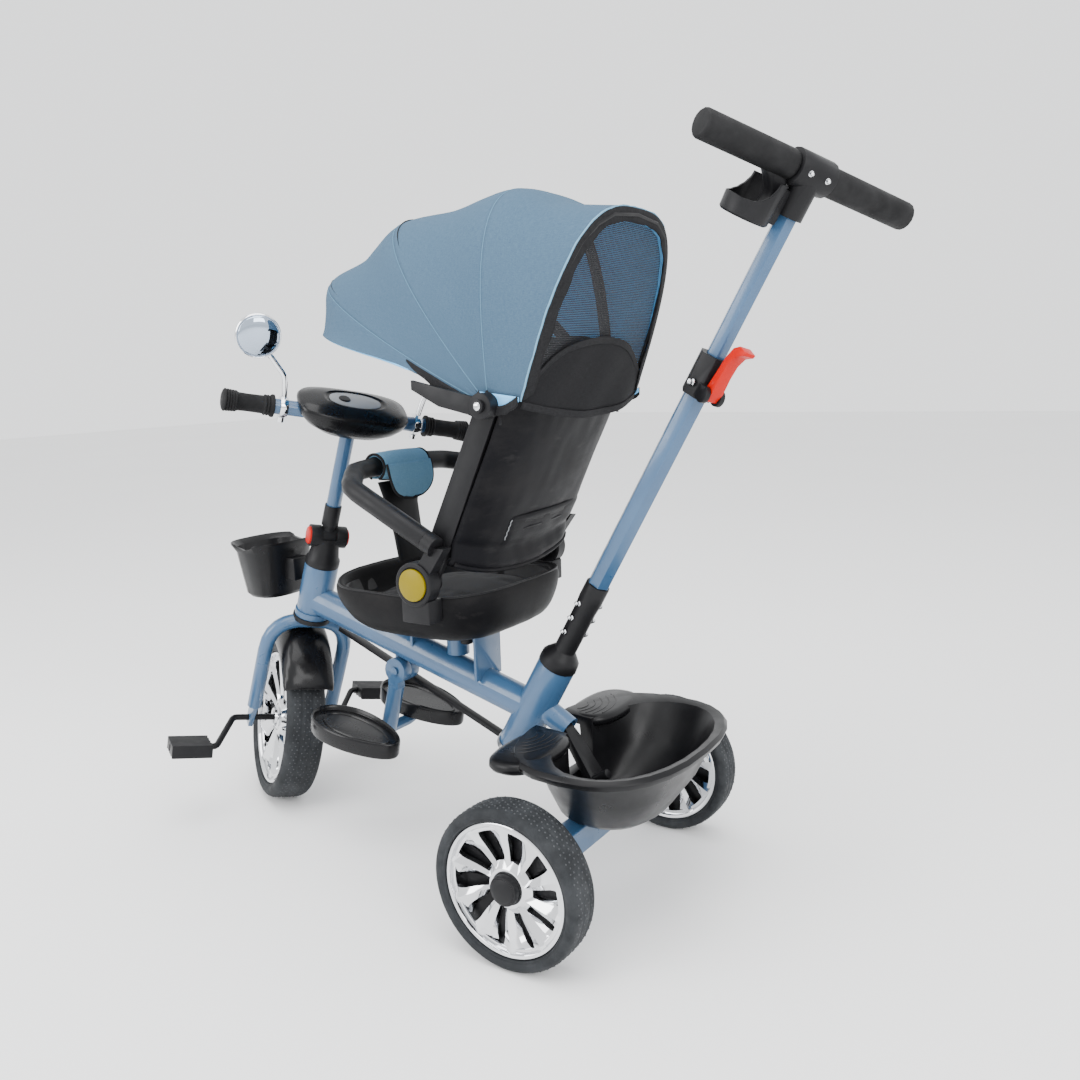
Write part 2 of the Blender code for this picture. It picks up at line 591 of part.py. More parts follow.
def fold_hinge():
    """The black head of the steering column: two fixed knuckles on the base and one on the folding stem."""
    base = turned("hinge_base", [(0, 0.150), (0.0150, 0.148), (0.0195, 0.132), (0.0235, 0.108), (0.0262, 0.104),
                                 (0.0262, HEAD_TOP), (0, HEAD_TOP)], 20, BLACK_PLASTIC, steering)
    barrel = rod_mesh((-HINGE_HALF, 0, HINGE_Z), (HINGE_HALF, 0, HINGE_Z), 0.0168, sides=16)
    join(base, add("hinge_barrel", barrel, BLACK_PLASTIC, steering, cutter=True))
    room = rod_mesh((-0.0112, 0, HINGE_Z), (0.0112, 0, HINGE_Z), 0.0158, sides=16)
    slot = box_mesh((0.0224, 0.050, 0.030), (0, 0, HINGE_Z + 0.015))
    column = rod_mesh((0, 0, 0.09), (0, 0, HINGE_Z - 0.018 + GAP), STEERER_R + GAP, sides=16)
    bore = rod_mesh((-0.05, 0, HINGE_Z), (0.05, 0, HINGE_Z), 0.0142, sides=16)
    swing = box_mesh((0.0224, 0.030, 0.038), (0, -0.015, HINGE_Z + 0.011))
    for k, mesh in enumerate((room, slot, swing, column, bore)):
        cut(base, add(f"hinge_cut_{k}", mesh, BLACK_PLASTIC, steering, cutter=True))
    for side, sign in (("left", 1), ("right", -1)):
        profile = [(0, HINGE_HALF + 0.004), (0.0120, HINGE_HALF + 0.0035), (0.0136, HINGE_HALF + 0.002),
                   (0.0136, HINGE_HALF - 0.008), (0.0050, HINGE_HALF - 0.008), (0.0050, 0.0055), (0, 0.0055)]
        turned("hinge_button_" + side, profile, 16, RED, steering, (0, 0, HINGE_Z), (0, sign * pi / 2, 0))
    sleeve = turned("hinge_sleeve", [(0, 0.052), (0.0128, 0.052), (0.0128, 0.0190), (0.0104, 0.0180),
                                       (0.0104, 0.008), (0, 0.008)], 16, BLACK_PLASTIC,
                    stem_frame)
    knuckle = rod_mesh((-0.0108, 0, 0), (0.0108, 0, 0), 0.0150, sides=16)
    join(sleeve, add("sleeve_knuckle", knuckle, BLACK_PLASTIC, stem_frame, cutter=True))
    socket = rod_mesh((0, 0, 0.0225), (0, 0, 0.06), BAR_R + GAP, sides=16)
    pin = rod_mesh((-0.05, 0, 0), (0.05, 0, 0), 0.0050 + GAP, sides=12)
    cut(sleeve, add("sleeve_socket", socket, BLACK_PLASTIC, stem_frame, cutter=True))
    cut(sleeve, add("sleeve_pin", pin, BLACK_PLASTIC, stem_frame, cutter=True))


def handlebar():
    """The blue stem and crossbar, the grips, and the music box that sits on the bar."""
    bar_z = BAR_Z - HINGE_Z
    tube = add("handlebar", rod_mesh((-0.178, 0, bar_z), (0.178, 0, bar_z), BAR_R, sides=16), PAINT_BLUE, stem_frame)
    stem = rod_mesh((0, 0, 0.0229), (0, 0, bar_z), BAR_R, sides=16)
    join(tube, add("handlebar_stem", stem, PAINT_BLUE, stem_frame, cutter=True))
    for side, sign in (("left", 1), ("right", -1)):
        end = BAR_HALF
        profile = [(0, end), (0.0130, end), (0.0158, end - 0.004), (0.0155, end - 0.010), (0.0132, end - 0.013),
                   (0.0128, GRIP_START + 0.006), (0.0168, GRIP_START + 0.005), (0.0168, GRIP_START),
                   (BAR_R + GAP, GRIP_START),
                   (BAR_R + GAP, 0.1785), (0, 0.1785)]
        turned("grip_" + side, profile, 16, GRIP_RUBBER, stem_frame, (0, 0, bar_z), (0, sign * pi / 2, 0))
    music_box(bar_z)


def music_box(bar_z):
    rings = [
        oval(0.024, 0.020, bar_z - 0.020, 0.0, 2.3, 20),
        oval(0.052, 0.033, bar_z - 0.010, 0.0, 2.5, 20),
        oval(0.078, 0.042, bar_z + 0.004, 0.0, 2.5, 20),
        oval(0.0815, 0.044, bar_z + 0.015, 0.0, 2.5, 20),
        oval(0.077, 0.040, bar_z + 0.021, 0.0, 2.5, 20),
        oval(0.056, 0.026, bar_z + 0.0275, 0.0, 2.5, 20),
    ]
    case = add("music_box", rings_mesh(rings), BLACK_GLOSS, stem_frame)
    channel = rod_mesh((-0.1, 0, bar_z), (0.1, 0, bar_z), BAR_R + GAP, sides=16)
    throat = rod_mesh((0, 0, bar_z - 0.06), (0, 0, bar_z), BAR_R + GAP, sides=16)
    for k, mesh in enumerate((channel, throat)):
        cut(case, add(f"music_box_cut_{k}", mesh, BLACK_GLOSS, stem_frame, cutter=True))


def mirrors():
    """A chromed stalk clamped to the bar on each side, with a round mirror on its end."""
    bar_z = BAR_Z - HINGE_Z
    for side, sign in (("left", 1), ("right", -1)):
        x = sign * 0.100
        ring = turned("mirror_stalk_" + side, [(BAR_R + 0.0035, 0.005), (BAR_R + 0.0035, -0.005), (BAR_R + GAP, -0.005),
                                              (BAR_R + GAP, 0.005)], 16, CHROME, stem_frame, (x, 0, bar_z),
                      (0, pi / 2, 0), ring=True)
        path = [(x, 0, bar_z + BAR_R + 0.001), (x + sign * 0.004, 0, bar_z + 0.045),
                (x + sign * 0.026, -0.003, bar_z + 0.068), (x + sign * 0.046, -0.0085, bar_z + MIRROR_RISE - 0.012)]
        rod = pipe_mesh(rounded(path, 0.022, 3), 0.0035, 1)
        nub = rod_mesh((x, 0, bar_z - BAR_R - 0.010), (x, 0, bar_z - BAR_R - 0.001), 0.005, sides=12)
        join(ring, add("stalk_rod_" + side, rod, CHROME, stem_frame, cutter=True))
        join(ring, add("stalk_nub_" + side, nub, CHROME, stem_frame, cutter=True))
        centre = (sign * MIRROR_OUT, 0.004, bar_z + MIRROR_RISE)
        frame = frame_at("mirror_frame_" + side, centre, (0, 0, 0), stem_frame)
        profile = [(0, 0.0036), (0.0300, 0.0036), (0.0312, 0.0015), (0.0296, -0.0015), (0.0200, -0.0055),
                   (0, -0.0075)]
        turned("mirror_" + side, profile, 20, MIRROR, frame, (0, 0, 0), (-pi / 2, 0, 0))


# ---------------------------------------------------------------- push handle
def push_handle():
    shaft_and_socket()
    hexagon = dict(sides=6, turn=pi / 6)
    low = SOCKET_TOP + GAP
    pole = add("lower_pole", rod_mesh((0, 0, low), (0, 0, LOWER_POLE_TOP), POLE_R, **hexagon), PAINT_BLUE, handle)
    bore = rod_mesh((0, 0, low + 0.012), (0, 0, LOWER_POLE_TOP + 0.02), POLE_R - 0.0022, **hexagon)
    cut(pole, add("lower_pole_bore", bore, PAINT_BLUE, handle, cutter=True))
    clamp = add("clamp_collar", rod_mesh((0, 0, CLAMP[0]), (0, 0, CLAMP[1]), POLE_R + 0.0045, **hexagon),
                BLACK_PLASTIC, handle)
    ear = rod_mesh((-0.0135, LEVER.y, LEVER.z), (0.0135, LEVER.y, LEVER.z), 0.0100, sides=16)
    root_box = box_mesh((0.0260, 0.014, 0.018), (0, POLE_R + 0.0005, LEVER.z))
    slot = box_mesh((0.0156, 0.030, 0.030), (0, LEVER.y + 0.0075, LEVER.z))
    join(clamp, add("clamp_ear", ear, BLACK_PLASTIC, handle, cutter=True))
    join(clamp, add("clamp_root", root_box, BLACK_PLASTIC, handle, cutter=True))
    cut(clamp, add("clamp_slot", slot, BLACK_PLASTIC, handle, cutter=True))
    for k, (start, end, radius) in enumerate(((CLAMP[0] - 0.01, LOWER_POLE_TOP + GAP, POLE_R + GAP),
                                              (CLAMP[0], CLAMP[1] + 0.01, UPPER_R + GAP))):
        mesh = rod_mesh((0, 0, start), (0, 0, end), radius, **hexagon)
        cut(clamp, add(f"clamp_bore_{k}", mesh, BLACK_PLASTIC, handle, cutter=True))
    clamp_lever()
    upper = add("upper_pole", rod_mesh((0, 0, UPPER_POLE[0]), (0, 0, UPPER_POLE[1]), UPPER_R, **hexagon), PAINT_BLUE,
                upper_frame)
    inside = rod_mesh((0, 0, UPPER_POLE[0] - 0.01), (0, 0, UPPER_POLE[1] - 0.01), UPPER_R - 0.002, **hexagon)
    cut(upper, add("upper_pole_bore", inside, PAINT_BLUE, upper_frame, cutter=True))
    tee_and_grips()
    cup_holder()


def shaft_and_socket():
    """The turning column in the rear head tube: a steel shaft with a crank, and the black socket on top."""
    top = REAR_HEAD[1]
    low = REAR_HEAD[0] - 0.0075
    shaft = add("handle_shaft", rod_mesh((0, 0, low - 0.006), (0, 0, 0.100), SHAFT_R, sides=16), STEEL, handle)
    arm = box_mesh((LINK_R + 0.020, 0.016, 0.004), (-LINK_R / 2, 0, low - 0.0030))
    collar = rod_mesh((0, 0, low), (0, 0, REAR_HEAD[0] - GAP), 0.0275, sides=20)
    join(shaft, add("shaft_arm", arm, STEEL, handle, cutter=True))
    join(shaft, add("shaft_collar", collar, STEEL, handle, cutter=True))
    profile = [(0, SOCKET_TOP), (0.0160, SOCKET_TOP), (0.0162, 0.165), (0.0150, 0.150), (0.0150, 0.084),
               (0.0215, 0.076), (0.0262, 0.070), (0.0272, top + GAP), (0, top + GAP)]
    socket = turned("pole_socket", profile, 16, BLACK_PLASTIC, handle)
    bore = rod_mesh((0, 0, 0.04), (0, 0, 0.1004), SHAFT_R + GAP, sides=16)
    cut(socket, add("socket_bore", bore, BLACK_PLASTIC, handle, cutter=True))


def clamp_lever():
    """The red quick-release lever, hinged between the collar's two ears."""
    hinge = frame_at("lever_frame", LEVER, parent=handle)
    outline = [(-0.0052, -0.0050), (0.0, -0.0072), (0.0052, -0.0050), (0.0095, 0.0080), (0.0085, 0.0280), (0.0100, 0.0440),
               (0.0160, 0.0560), (0.0270, 0.0620), (0.0280, 0.0660), (0.0150, 0.0680), (0.0060, 0.0620),
               (0.0005, 0.0480), (-0.0020, 0.0280), (-0.0050, 0.0100)]
    low = [Vector((-0.0074, y, z)) for y, z in outline]
    high = [Vector((0.0074, y, z)) for y, z in outline]
    add("clamp_lever", rings_mesh([low, high]), RED, hinge)


def tee_and_grips():
    tee = add("handle_tee", rod_mesh((-0.0245, 0, TEE_Z), (0.0245, 0, TEE_Z), 0.0195, sides=16), BLACK_PLASTIC,
              upper_frame)
    sleeve = rod_mesh((0, 0, UPPER_POLE[1] - 0.030), (0, 0, TEE_Z), UPPER_R + 0.0045, sides=16)
    join(tee, add("tee_sleeve", sleeve, BLACK_PLASTIC, upper_frame, cutter=True))
    bar = rod_mesh((-0.142, 0, TEE_Z), (0.142, 0, TEE_Z), 0.0105, sides=16)
    join(tee, add("tee_bar", bar, BLACK_PLASTIC, upper_frame, cutter=True))
    pole_hole = rod_mesh((0, 0, UPPER_POLE[1] - 0.04), (0, 0, UPPER_POLE[1] + GAP), UPPER_R + GAP, sides=6,
                         turn=pi / 6)
    cut(tee, add("tee_hole", pole_hole, BLACK_PLASTIC, upper_frame, cutter=True))
    for side, sign in (("left", 1), ("right", -1)):
        end = TEE_HALF
        profile = [(0, end), (0.0135, end), (0.0155, end - 0.002), (0.0158, 0.029), (0.0150, 0.0255),
                   (0.0105 + GAP, 0.0255), (0.0105 + GAP, 0.1424), (0, 0.1424)]
        turned("push_grip_" + side, profile, 16, GRIP_RUBBER, upper_frame, (0, 0, TEE_Z), (0, sign * pi / 2, 0))


def cup_holder():
    """A scooped cup on a neck under the bar, clipped to the pole below the tee."""
    centre = Vector((0.0500, -0.004, 0.684))
    radius = 0.030
    levels = [(radius * 0.86, 0.664), (radius * 0.93, 0.666), (radius, 0.7102)]
    rings = [oval(r, r, z, centre.y, 2, 20, centre.x) for r, z in levels]
    cup = add("cup_holder", rings_mesh(rings), BLACK_PLASTIC, upper_frame)
    arm = box_mesh((0.026, 0.020, 0.038), (0.0190, -0.003, 0.688), 0.002)
    join(cup, add("cup_arm", arm, BLACK_PLASTIC, upper_frame, cutter=True))
    clear = rod_mesh((0, 0, 0.60), (0, 0, 0.75), UPPER_R + 0.0045 + GAP, sides=16)
    room = rod_mesh(centre + Vector((0, 0, -0.0165)), centre + Vector((0, 0, 0.05)), radius * 0.88, sides=20)
    scoop = rod_mesh((0.0720, -0.08, 0.7130), (0.0720, 0.08, 0.7130), 0.0300, sides=20)
    for k, mesh in enumerate((clear, room, scoop)):
        cut(cup, add(f"cup_cut_{k}", mesh, BLACK_PLASTIC, upper_frame, cutter=True))


def push_rod():
    """The bar under the main tube that carries the handle's turn to the fork; its front pivot is left open."""
    reach = ROD_FRONT - ROD_REAR
    rod_frame = frame_at("push_rod_frame", ROD_REAR, parent=root)
    direction = reach.normalized()
    side = Vector((1, 0, 0))
    normal = direction.cross(side).normalized()
    rings = []
    for share in (-0.012, 0.935):
        centre = reach * share
        rings.append([centre + side * sx * 0.006 + normal * sn * 0.0035 for sx, sn in
                      ((1, 1), (-1, 1), (-1, -1), (1, -1))])
    add("push_rod", rings_mesh(rings), BLACK_STEEL, rod_frame)


# ---------------------------------------------------------------- footrest
def foot_bar(half):
    """The line of the crossbar that carries both foot pads."""
    return rounded([(-half, -0.031, -0.0885), (-0.045, -0.034, -0.100), (0.045, -0.034, -0.100),
                    (half, -0.031, -0.0885)], 0.03, 3)


def footrest():
    stem = add("footrest_stem", rod_mesh((GAP / 2, 0, 0), (0.017, 0, 0), 0.019, sides=16), PAINT_BLUE, foot)
    shin = rod_mesh((0.006, -0.0065, -0.0225), (0, -0.0335, -0.0990), 0.012, sides=16)
    neck = box_mesh((0.016, 0.018, 0.016), (0.0088, -0.005, -0.0205))
    bar = pipe_mesh(foot_bar(0.082), 0.009, 2)
    pin = rod_mesh((0.0192, 0, 0), (-0.0192, 0, 0), 0.0036, sides=12)
    heads = [rod_mesh((sign * 0.0205, 0, 0), (sign * 0.0174, 0, 0), 0.007, sides=12) for sign in (1, -1)]
    for k, mesh in enumerate((shin, neck, bar, pin, *heads)):
        join(stem, add(f"footrest_join_{k}", mesh, PAINT_BLUE, foot, cutter=True))
    for side, sign in (("left", 1), ("right", -1)):
        levels = [(0.88, -0.0105), (1.0, -0.0075), (1.0, 0.0105), (0.93, 0.0105), (0.90, 0.0035)]
        rings = []
        for scale, z in levels:
            ring = []
            for k in range(20):
                angle = 2 * pi * k / 20
                reach_y = sin(angle)
                half = 0.0425 - 0.0085 * reach_y
                ring.append(Vector((half * scale * cos(angle) * sign, 0.078 * reach_y * (1 - 0.6 * (1 - scale)), z)))
            rings.append(ring)
        pad = add("footrest_pad_" + side, rings_mesh(rings), BLACK_GLOSS, foot, (sign * 0.076, -0.028, -0.0790),
                  (-radians(11), 0, 0))
        groove = pipe_mesh(foot_bar(0.0825), 0.0096, 2)
        cut(pad, add("pad_groove_" + side, groove, BLACK_GLOSS, foot, cutter=True))


# ---------------------------------------------------------------- seat
def seat_shell():
    """The moulded pan with its swivel stem, side arms and the round bosses of the recline."""
    low = SWIVEL.z + GAP
    levels = [  # half width, front y, rear y, height
        (0.078, -0.300, -0.146, low),
        (0.114, -0.330, -0.124, low + 0.010),
        (0.132, -0.358, -0.112, low + 0.040),
        (0.136, -0.366, -0.108, low + 0.062),
        (0.134, -0.364, -0.110, low + 0.068),
        (0.127, -0.356, -0.118, low + 0.064),
        (0.122, -0.348, -0.124, low + 0.040),
        (0.104, -0.322, -0.138, low + 0.020),
    ]
    rings = []
    for half, front, rear, z in levels:
        rings.append(oval(half, (rear - front) / 2, z - SWIVEL.z, (front + rear) / 2 - SWIVEL.y, 3.4, 24))
    pan = add("seat_shell", rings_mesh(rings), BLACK_PLASTIC, seat)
    stem = rod_mesh((0, 0, -0.030), (0, 0, 0.010), 0.011, sides=16)
    join(pan, add("seat_stem", stem, BLACK_PLASTIC, seat, cutter=True))
    boss = BOSS - SWIVEL
    for side, sign in (("left", 1), ("right", -1)):
        disc = rod_mesh(Vector((sign * 0.1385, 0, 0)) + boss, Vector((sign * 0.158, 0, 0)) + boss, 0.0275, sides=20)
        web = box_mesh((0.027, 0.044, 0.030), (sign * 0.1435, boss.y, boss.z - 0.0350), 0.002)
        arm_foot = boss + Vector((sign * 0.1485, 0.010, 0.012))
        arm_top = BUMPER_END - SWIVEL - bumper_axis * 0.014 + Vector((sign * 0.1485, 0.004, -0.002))
        arm = rings_mesh([[point + Vector((dx, dy, 0)) for dx, dy in ((0.008, 0.013), (-0.008, 0.013),
                                                                     (-0.008, -0.013), (0.008, -0.013))]
                          for point in (arm_foot, arm_top)])
        collar = rod_mesh(Vector((sign * BUMPER_HALF, 0, 0)) + BUMPER_END - SWIVEL - bumper_axis * 0.016,
                          Vector((sign * BUMPER_HALF, 0, 0)) + BUMPER_END - SWIVEL - bumper_axis * GAP, 0.0135,
                          sides=16)
        well = rod_mesh(Vector((sign * 0.1525, 0, 0)) + boss, Vector((sign * 0.17, 0, 0)) + boss, 0.0212, sides=16)
        stalk = rod_mesh(Vector((sign * 0.12, 0, 0)) + boss, Vector((sign * 0.17, 0, 0)) + boss, 0.0065, sides=12)
        for k, mesh in enumerate((disc, web, arm, collar)):
            join(pan, add(f"seat_join_{side}_{k}", mesh, BLACK_PLASTIC, seat, cutter=True))
        for k, mesh in enumerate((well, stalk)):
            cut(pan, add(f"seat_cut_{side}_{k}", mesh, BLACK_PLASTIC, seat, cutter=True))
        button = [(0, 0.1630), (0.0180, 0.1630), (0.0206, 0.1615), (0.0206, 0.1575), (0.0060, 0.1575),
                  (0.0060, 0.1390), (0, 0.1390)]
        turned("recline_button_" + side, button, 24, YELLOW, seat, boss, (0, sign * pi / 2, 0))


def seat_pad():
    """The padded insert that lies in the pan."""
    low = 0.0215
    levels = [(0.092, 0.078, low), (0.108, 0.092, low + 0.010), (0.109, 0.093, low + 0.024), (0.094, 0.080, low + 0.032)]
    rings = [oval(half_x, half_y, z, -0.002, 3.2, 24) for half_x, half_y, z in levels]
    add("seat_pad", rings_mesh(rings), SEAT_CLOTH, seat)


def back_sheet(name, depth, thickness, grow, finish, drop=0.0, cutter=False):
    """One curved layer of the backrest: depth is how far its rear face lies behind the pivot's plane."""
    columns = 6
    rows = 4
    rear = []
    front = []
    for j in range(rows + 1):
        share = j / rows
        half = BACK_HALF + grow
        for i in range(columns + 1):
            u = -1 + 2 * i / columns
            low = 0.022 + 0.016 * u * u - grow - drop
            top = 0.338 - 0.026 * u * u + grow
            bulge = 0.014 * (1 - u * u)
            lift = low + (top - low) * share
            rear.append(Vector((u * half, depth + bulge, lift)))
            front.append(Vector((u * half, depth + bulge - thickness, lift)))

    def build(shape):
        back = [shape.verts.new(point) for point in rear]
        face = [shape.verts.new(point) for point in front]
        width = columns + 1
        for j in range(rows):
            for i in range(columns):
                k = j * width + i
                shape.faces.new((back[k], back[k + 1], back[k + 1 + width], back[k + width]))
                shape.faces.new((face[k + width], face[k + 1 + width], face[k + 1], face[k]))
        rim = [i for i in range(width)]
        rim += [j * width + columns for j in range(1, rows + 1)]
        rim += [rows * width + i for i in range(columns - 1, -1, -1)]
        rim += [j * width for j in range(rows - 1, 0, -1)]
        for a, b in zip(rim, rim[1:] + rim[:1]):
            shape.faces.new((back[b], back[a], face[a], face[b]))

    return add(name, mesh_of(build), finish, backrest, cutter=cutter)


def backrest_pieces():
    board = back_sheet("backrest_board", 0.0145, 0.010, -0.004, BLACK_PLASTIC)
    for side, sign in (("left", 1), ("right", -1)):
        leg = rings_mesh([[Vector((sign * x, y, z)) for x, y in ((0.1345, y1), (0.1225, y1), (0.1225, y0), (0.1345, y0))]
                          for y0, y1, z in ((-0.010, 0.010, -0.004), (-0.004, 0.011, 0.020), (0.0035, 0.0125, 0.075))])
        disc = rod_mesh((sign * 0.1225, 0, 0), (sign * 0.1345, 0, 0), 0.018, sides=16)
        hole = rod_mesh((sign * 0.11, 0, 0), (sign * 0.15, 0, 0), 0.0065, sides=12)
        for k, mesh in enumerate((leg, disc)):
            join(board, add(f"board_join_{side}_{k}", mesh, BLACK_PLASTIC, backrest, cutter=True))
        cut(board, add("board_hole_" + side, hole, BLACK_PLASTIC, backrest, cutter=True))
    cover = back_sheet("backrest_cover", 0.0270, 0.0420, 0.0, LEATHERETTE)
    cut(cover, back_sheet("cover_pocket", 0.0145 + GAP, 0.010 + 2 * GAP, -0.004 + GAP, LEATHERETTE, 0.03, True))
    for sign in (1, -1):
        slit = box_mesh((0.0250, 0.0300, 0.110), (sign * 0.1330, 0.0010, 0.0235))
        cut(cover, add(f"cover_slit_{sign}", slit, LEATHERETTE, backrest, cutter=True))


def bumper():
    """The removable bar in front of the child, with its pad and the guard between the legs."""
    corner = BUMPER_END + bumper_axis * 0.134
    side = Vector((BUMPER_HALF, 0, 0))
    nose = Vector((0, -0.322, 0.562)) - BUMPER_END
    path = [side, side + corner - BUMPER_END, Vector((0.095, 0, 0)) + nose + Vector((0, 0.006, -0.002)),
            Vector((0.056, 0, 0)) + nose]
    mirrored = [Vector((-point.x, point.y, point.z)) for point in reversed(path)]
    pipe("bumper_bar", rounded(path + mirrored, 0.034, 4), 0.0135, BLACK_PLASTIC, bumper_frame, 3)
    wrap = []
    for x in (-0.046, 0.046):
        centre = Vector((x, nose.y, nose.z))
        outer = [centre + Vector((0, 0.0190 * cos(a), 0.0190 * sin(a))) for a in WRAP_ANGLES]
        inner = [centre + Vector((0, 0.0145 * cos(a), 0.0145 * sin(a))) for a in WRAP_ANGLES]
        wrap.append(outer + inner[::-1])
    add("bumper_pad", rings_mesh(wrap), CANOPY_BLUE, bumper_frame)
    guard = []
    for half, thick, y, z in ((0.046, 0.008, nose.y + 0.001, 0.5400), (0.034, 0.009, nose.y + 0.004, 0.505),
                              (0.030, 0.009, nose.y + 0.012, 0.465), (0.036, 0.008, nose.y + 0.024, 0.4280)):
        guard.append(oval(half, thick / 2, z - BUMPER_END.z, y, 3.0, 16))
    add("crotch_guard", rings_mesh(guard), BLACK_PLASTIC, bumper_frame)


# ---------------------------------------------------------------- canopy
def fan_arc(lean, reach, half, power, start=0.028, count=16, inset=0.0):
    """A line over the seat in a plane through the canopy's pivot that leans forward by an angle."""
    out = Vector((0, -sin(radians(lean)), cos(radians(lean))))
    line = []
    for i in range(count + 1):
        angle = pi * i / count
        x = copysign(abs(cos(angle)) ** (2 / power), cos(angle)) * (half - inset)
        line.append(Vector((x, 0, 0)) + out * (start + (reach - inset - start) * abs(sin(angle)) ** (2 / power)))
    return line


def peak_edge():
    """The free edge of the sun peak, which hangs below the front bow."""
    line = []
    for point in fan_arc(0, 1, 0.145, 2.2, 0.0):
        line.append(Vector((point.x, -0.138 - 0.209 * point.z, 0.052 + 0.050 * point.z)))
    return line


def between(first, second, share, sink):
    """A line between two bows, drawn in towards the pivot as the cloth is."""
    line = []
    for a, b in zip(first, second):
        point = a.lerp(b, share)
        out = Vector((0, point.y, point.z)).normalized()
        line.append(point - out * sink * (1 - abs(point.x) / 0.20))
    return line


def rear_edge(count=16, inset=0.0):
    """The cloth's rear edge, a little behind the pivot."""
    low = Vector((0, 0.044, 0.020))
    rise = Vector((0, 0.077, 0.201 - inset))
    line = []
    for point in fan_arc(0, 1, 0.140 - inset, 3.0, 0.0, count):
        line.append(Vector((point.x, 0, 0)) + low + rise * point.z)
    return line


def canopy_cover():
    front = fan_arc(*BOW_FRONT)
    second = fan_arc(*BOW_SECOND)
    third = fan_arc(*BOW_THIRD)
    rear = rear_edge()
    lines = [peak_edge(), front, between(front, second, 0.5, 0.008), second, between(second, third, 0.5, 0.003), third,
             between(third, rear, 0.5, 0.008), rear]
    cover = add("canopy_cover", rings_mesh(lines, closed=False, capped=False), CANOPY_BLUE, canopy)
    cloth = cover.modifiers.new("cloth", "SOLIDIFY")
    cloth.thickness = 0.0016
    cloth.offset = 0


def bow(name, arc, parent, layer, pinned):
    """One canopy bow: an arch under the cloth that ends in a disc on the pivot at each side."""
    half = [point for point in arc if point.x >= -1e-6]
    first = Vector((layer, 0, 0)) + Vector((0, half[0].y, half[0].z)).normalized() * 0.0110
    path = [Vector((layer, 0, 0)), first] + half
    mirrored = [Vector((-point.x, point.y, point.z)) for point in reversed(path[:-1])]
    made = add(name, pipe_mesh(path + mirrored, 0.0024, 1), BLACK_PLASTIC, parent)
    for sign in (1, -1):
        disc = rod_mesh((sign * (layer - 0.0023), 0, 0), (sign * (layer + 0.0023), 0, 0), 0.0085, sides=16)
        join(made, add(f"{name}_disc_{sign}", disc, BLACK_PLASTIC, parent, cutter=True))
        if pinned:
            hole = rod_mesh((sign * (layer - 0.01), 0, 0), (sign * (layer + 0.01), 0, 0), 0.0037, sides=12)
            cut(made, add(f"{name}_hole_{sign}", hole, BLACK_PLASTIC, parent, cutter=True))
    return made


def canopy_bows():
    rear = bow("canopy_bow_rear", rear_edge(12, 0.0075), canopy, 0.1425, False)
    for sign in (1, -1):
        pin = rod_mesh((sign * 0.1410, 0, 0), (sign * 0.1685, 0, 0), 0.0032, sides=12)
        head = rod_mesh((sign * 0.1655, 0, 0), (sign * 0.1690, 0, 0), 0.0080, sides=16)
        for k, mesh in enumerate((pin, head)):
            join(rear, add(f"canopy_pin_{sign}_{k}", mesh, BLACK_PLASTIC, canopy, cutter=True))
    bow("canopy_bow_third", fan_arc(*BOW_THIRD, count=12, inset=0.0075), bow_third, 0.1482, True)
    bow("canopy_bow_second", fan_arc(*BOW_SECOND, count=12, inset=0.0075), bow_second, 0.1539, True)
    front = bow("canopy_bow_front", fan_arc(*BOW_FRONT, count=12, inset=0.0075), bow_front, 0.1600, True)
    for sign in (1, -1):
        blade = rings_mesh([[Vector((sign * (0.1600 + dx), y, z + dz)) for dx, dz in
                             ((0.0026, 0.010 * k), (-0.0026, 0.010 * k), (-0.0026, -0.012 * k), (0.0026, -0.012 * k))]
                            for y, z, k in ((-0.0065, 0.0, 1.0), (-0.060, 0.012, 1.0), (-0.100, 0.026, 0.5))])
        join(front, add(f"front_blade_{sign}", blade, BLACK_PLASTIC, bow_front, cutter=True))


# ---------------------------------------------------------------- derived places
steering_axis = Vector((0, sin(RAKE), cos(RAKE)))
pole_axis = Vector((0, sin(POLE_TILT), cos(POLE_TILT)))
STUB_START = POLE_FOOT + pole_axis * -0.010
STUB_END = Vector((0, -0.046, 0.2125))
CRANK_R = 0.0052
PEDAL_BACK = 0.050
PEDAL_DOWN = 0.021
SHAFT_R = 0.0125
LINK_R = 0.030
BRACKET = (-0.303, -0.175)
BASKET_RIM = 0.222
HEAD_TOP = HEAD_SPAN[1] + GAP
CROWN = -0.0055
HINGE_HALF = 0.0275
MIRROR_OUT = 0.150
MIRROR_RISE = 0.097
SOCKET_TOP = 0.190
LOWER_POLE_TOP = 0.4905
LEVER = Vector((0, 0.0265, 0.4760))
POLE_R = 0.0150
UPPER_R = 0.0122
UPPER_POLE = (0.400, 0.712)
BUMPER_END = Vector((0, -0.150, 0.4865))
BUMPER_HALF = 0.1535
BOW_FRONT = (64.2, 0.3876, 0.148, 2.1)     # lean in degrees, reach, half width, squareness
BOW_SECOND = (40.8, 0.3112, 0.1455, 2.5)
BOW_THIRD = (3.7, 0.2560, 0.1460, 3.0)
bumper_axis = Vector((0, -sin(radians(63)), cos(radians(63))))
WRAP_ANGLES = [radians(-62 + 304 * k / 10) for k in range(11)]

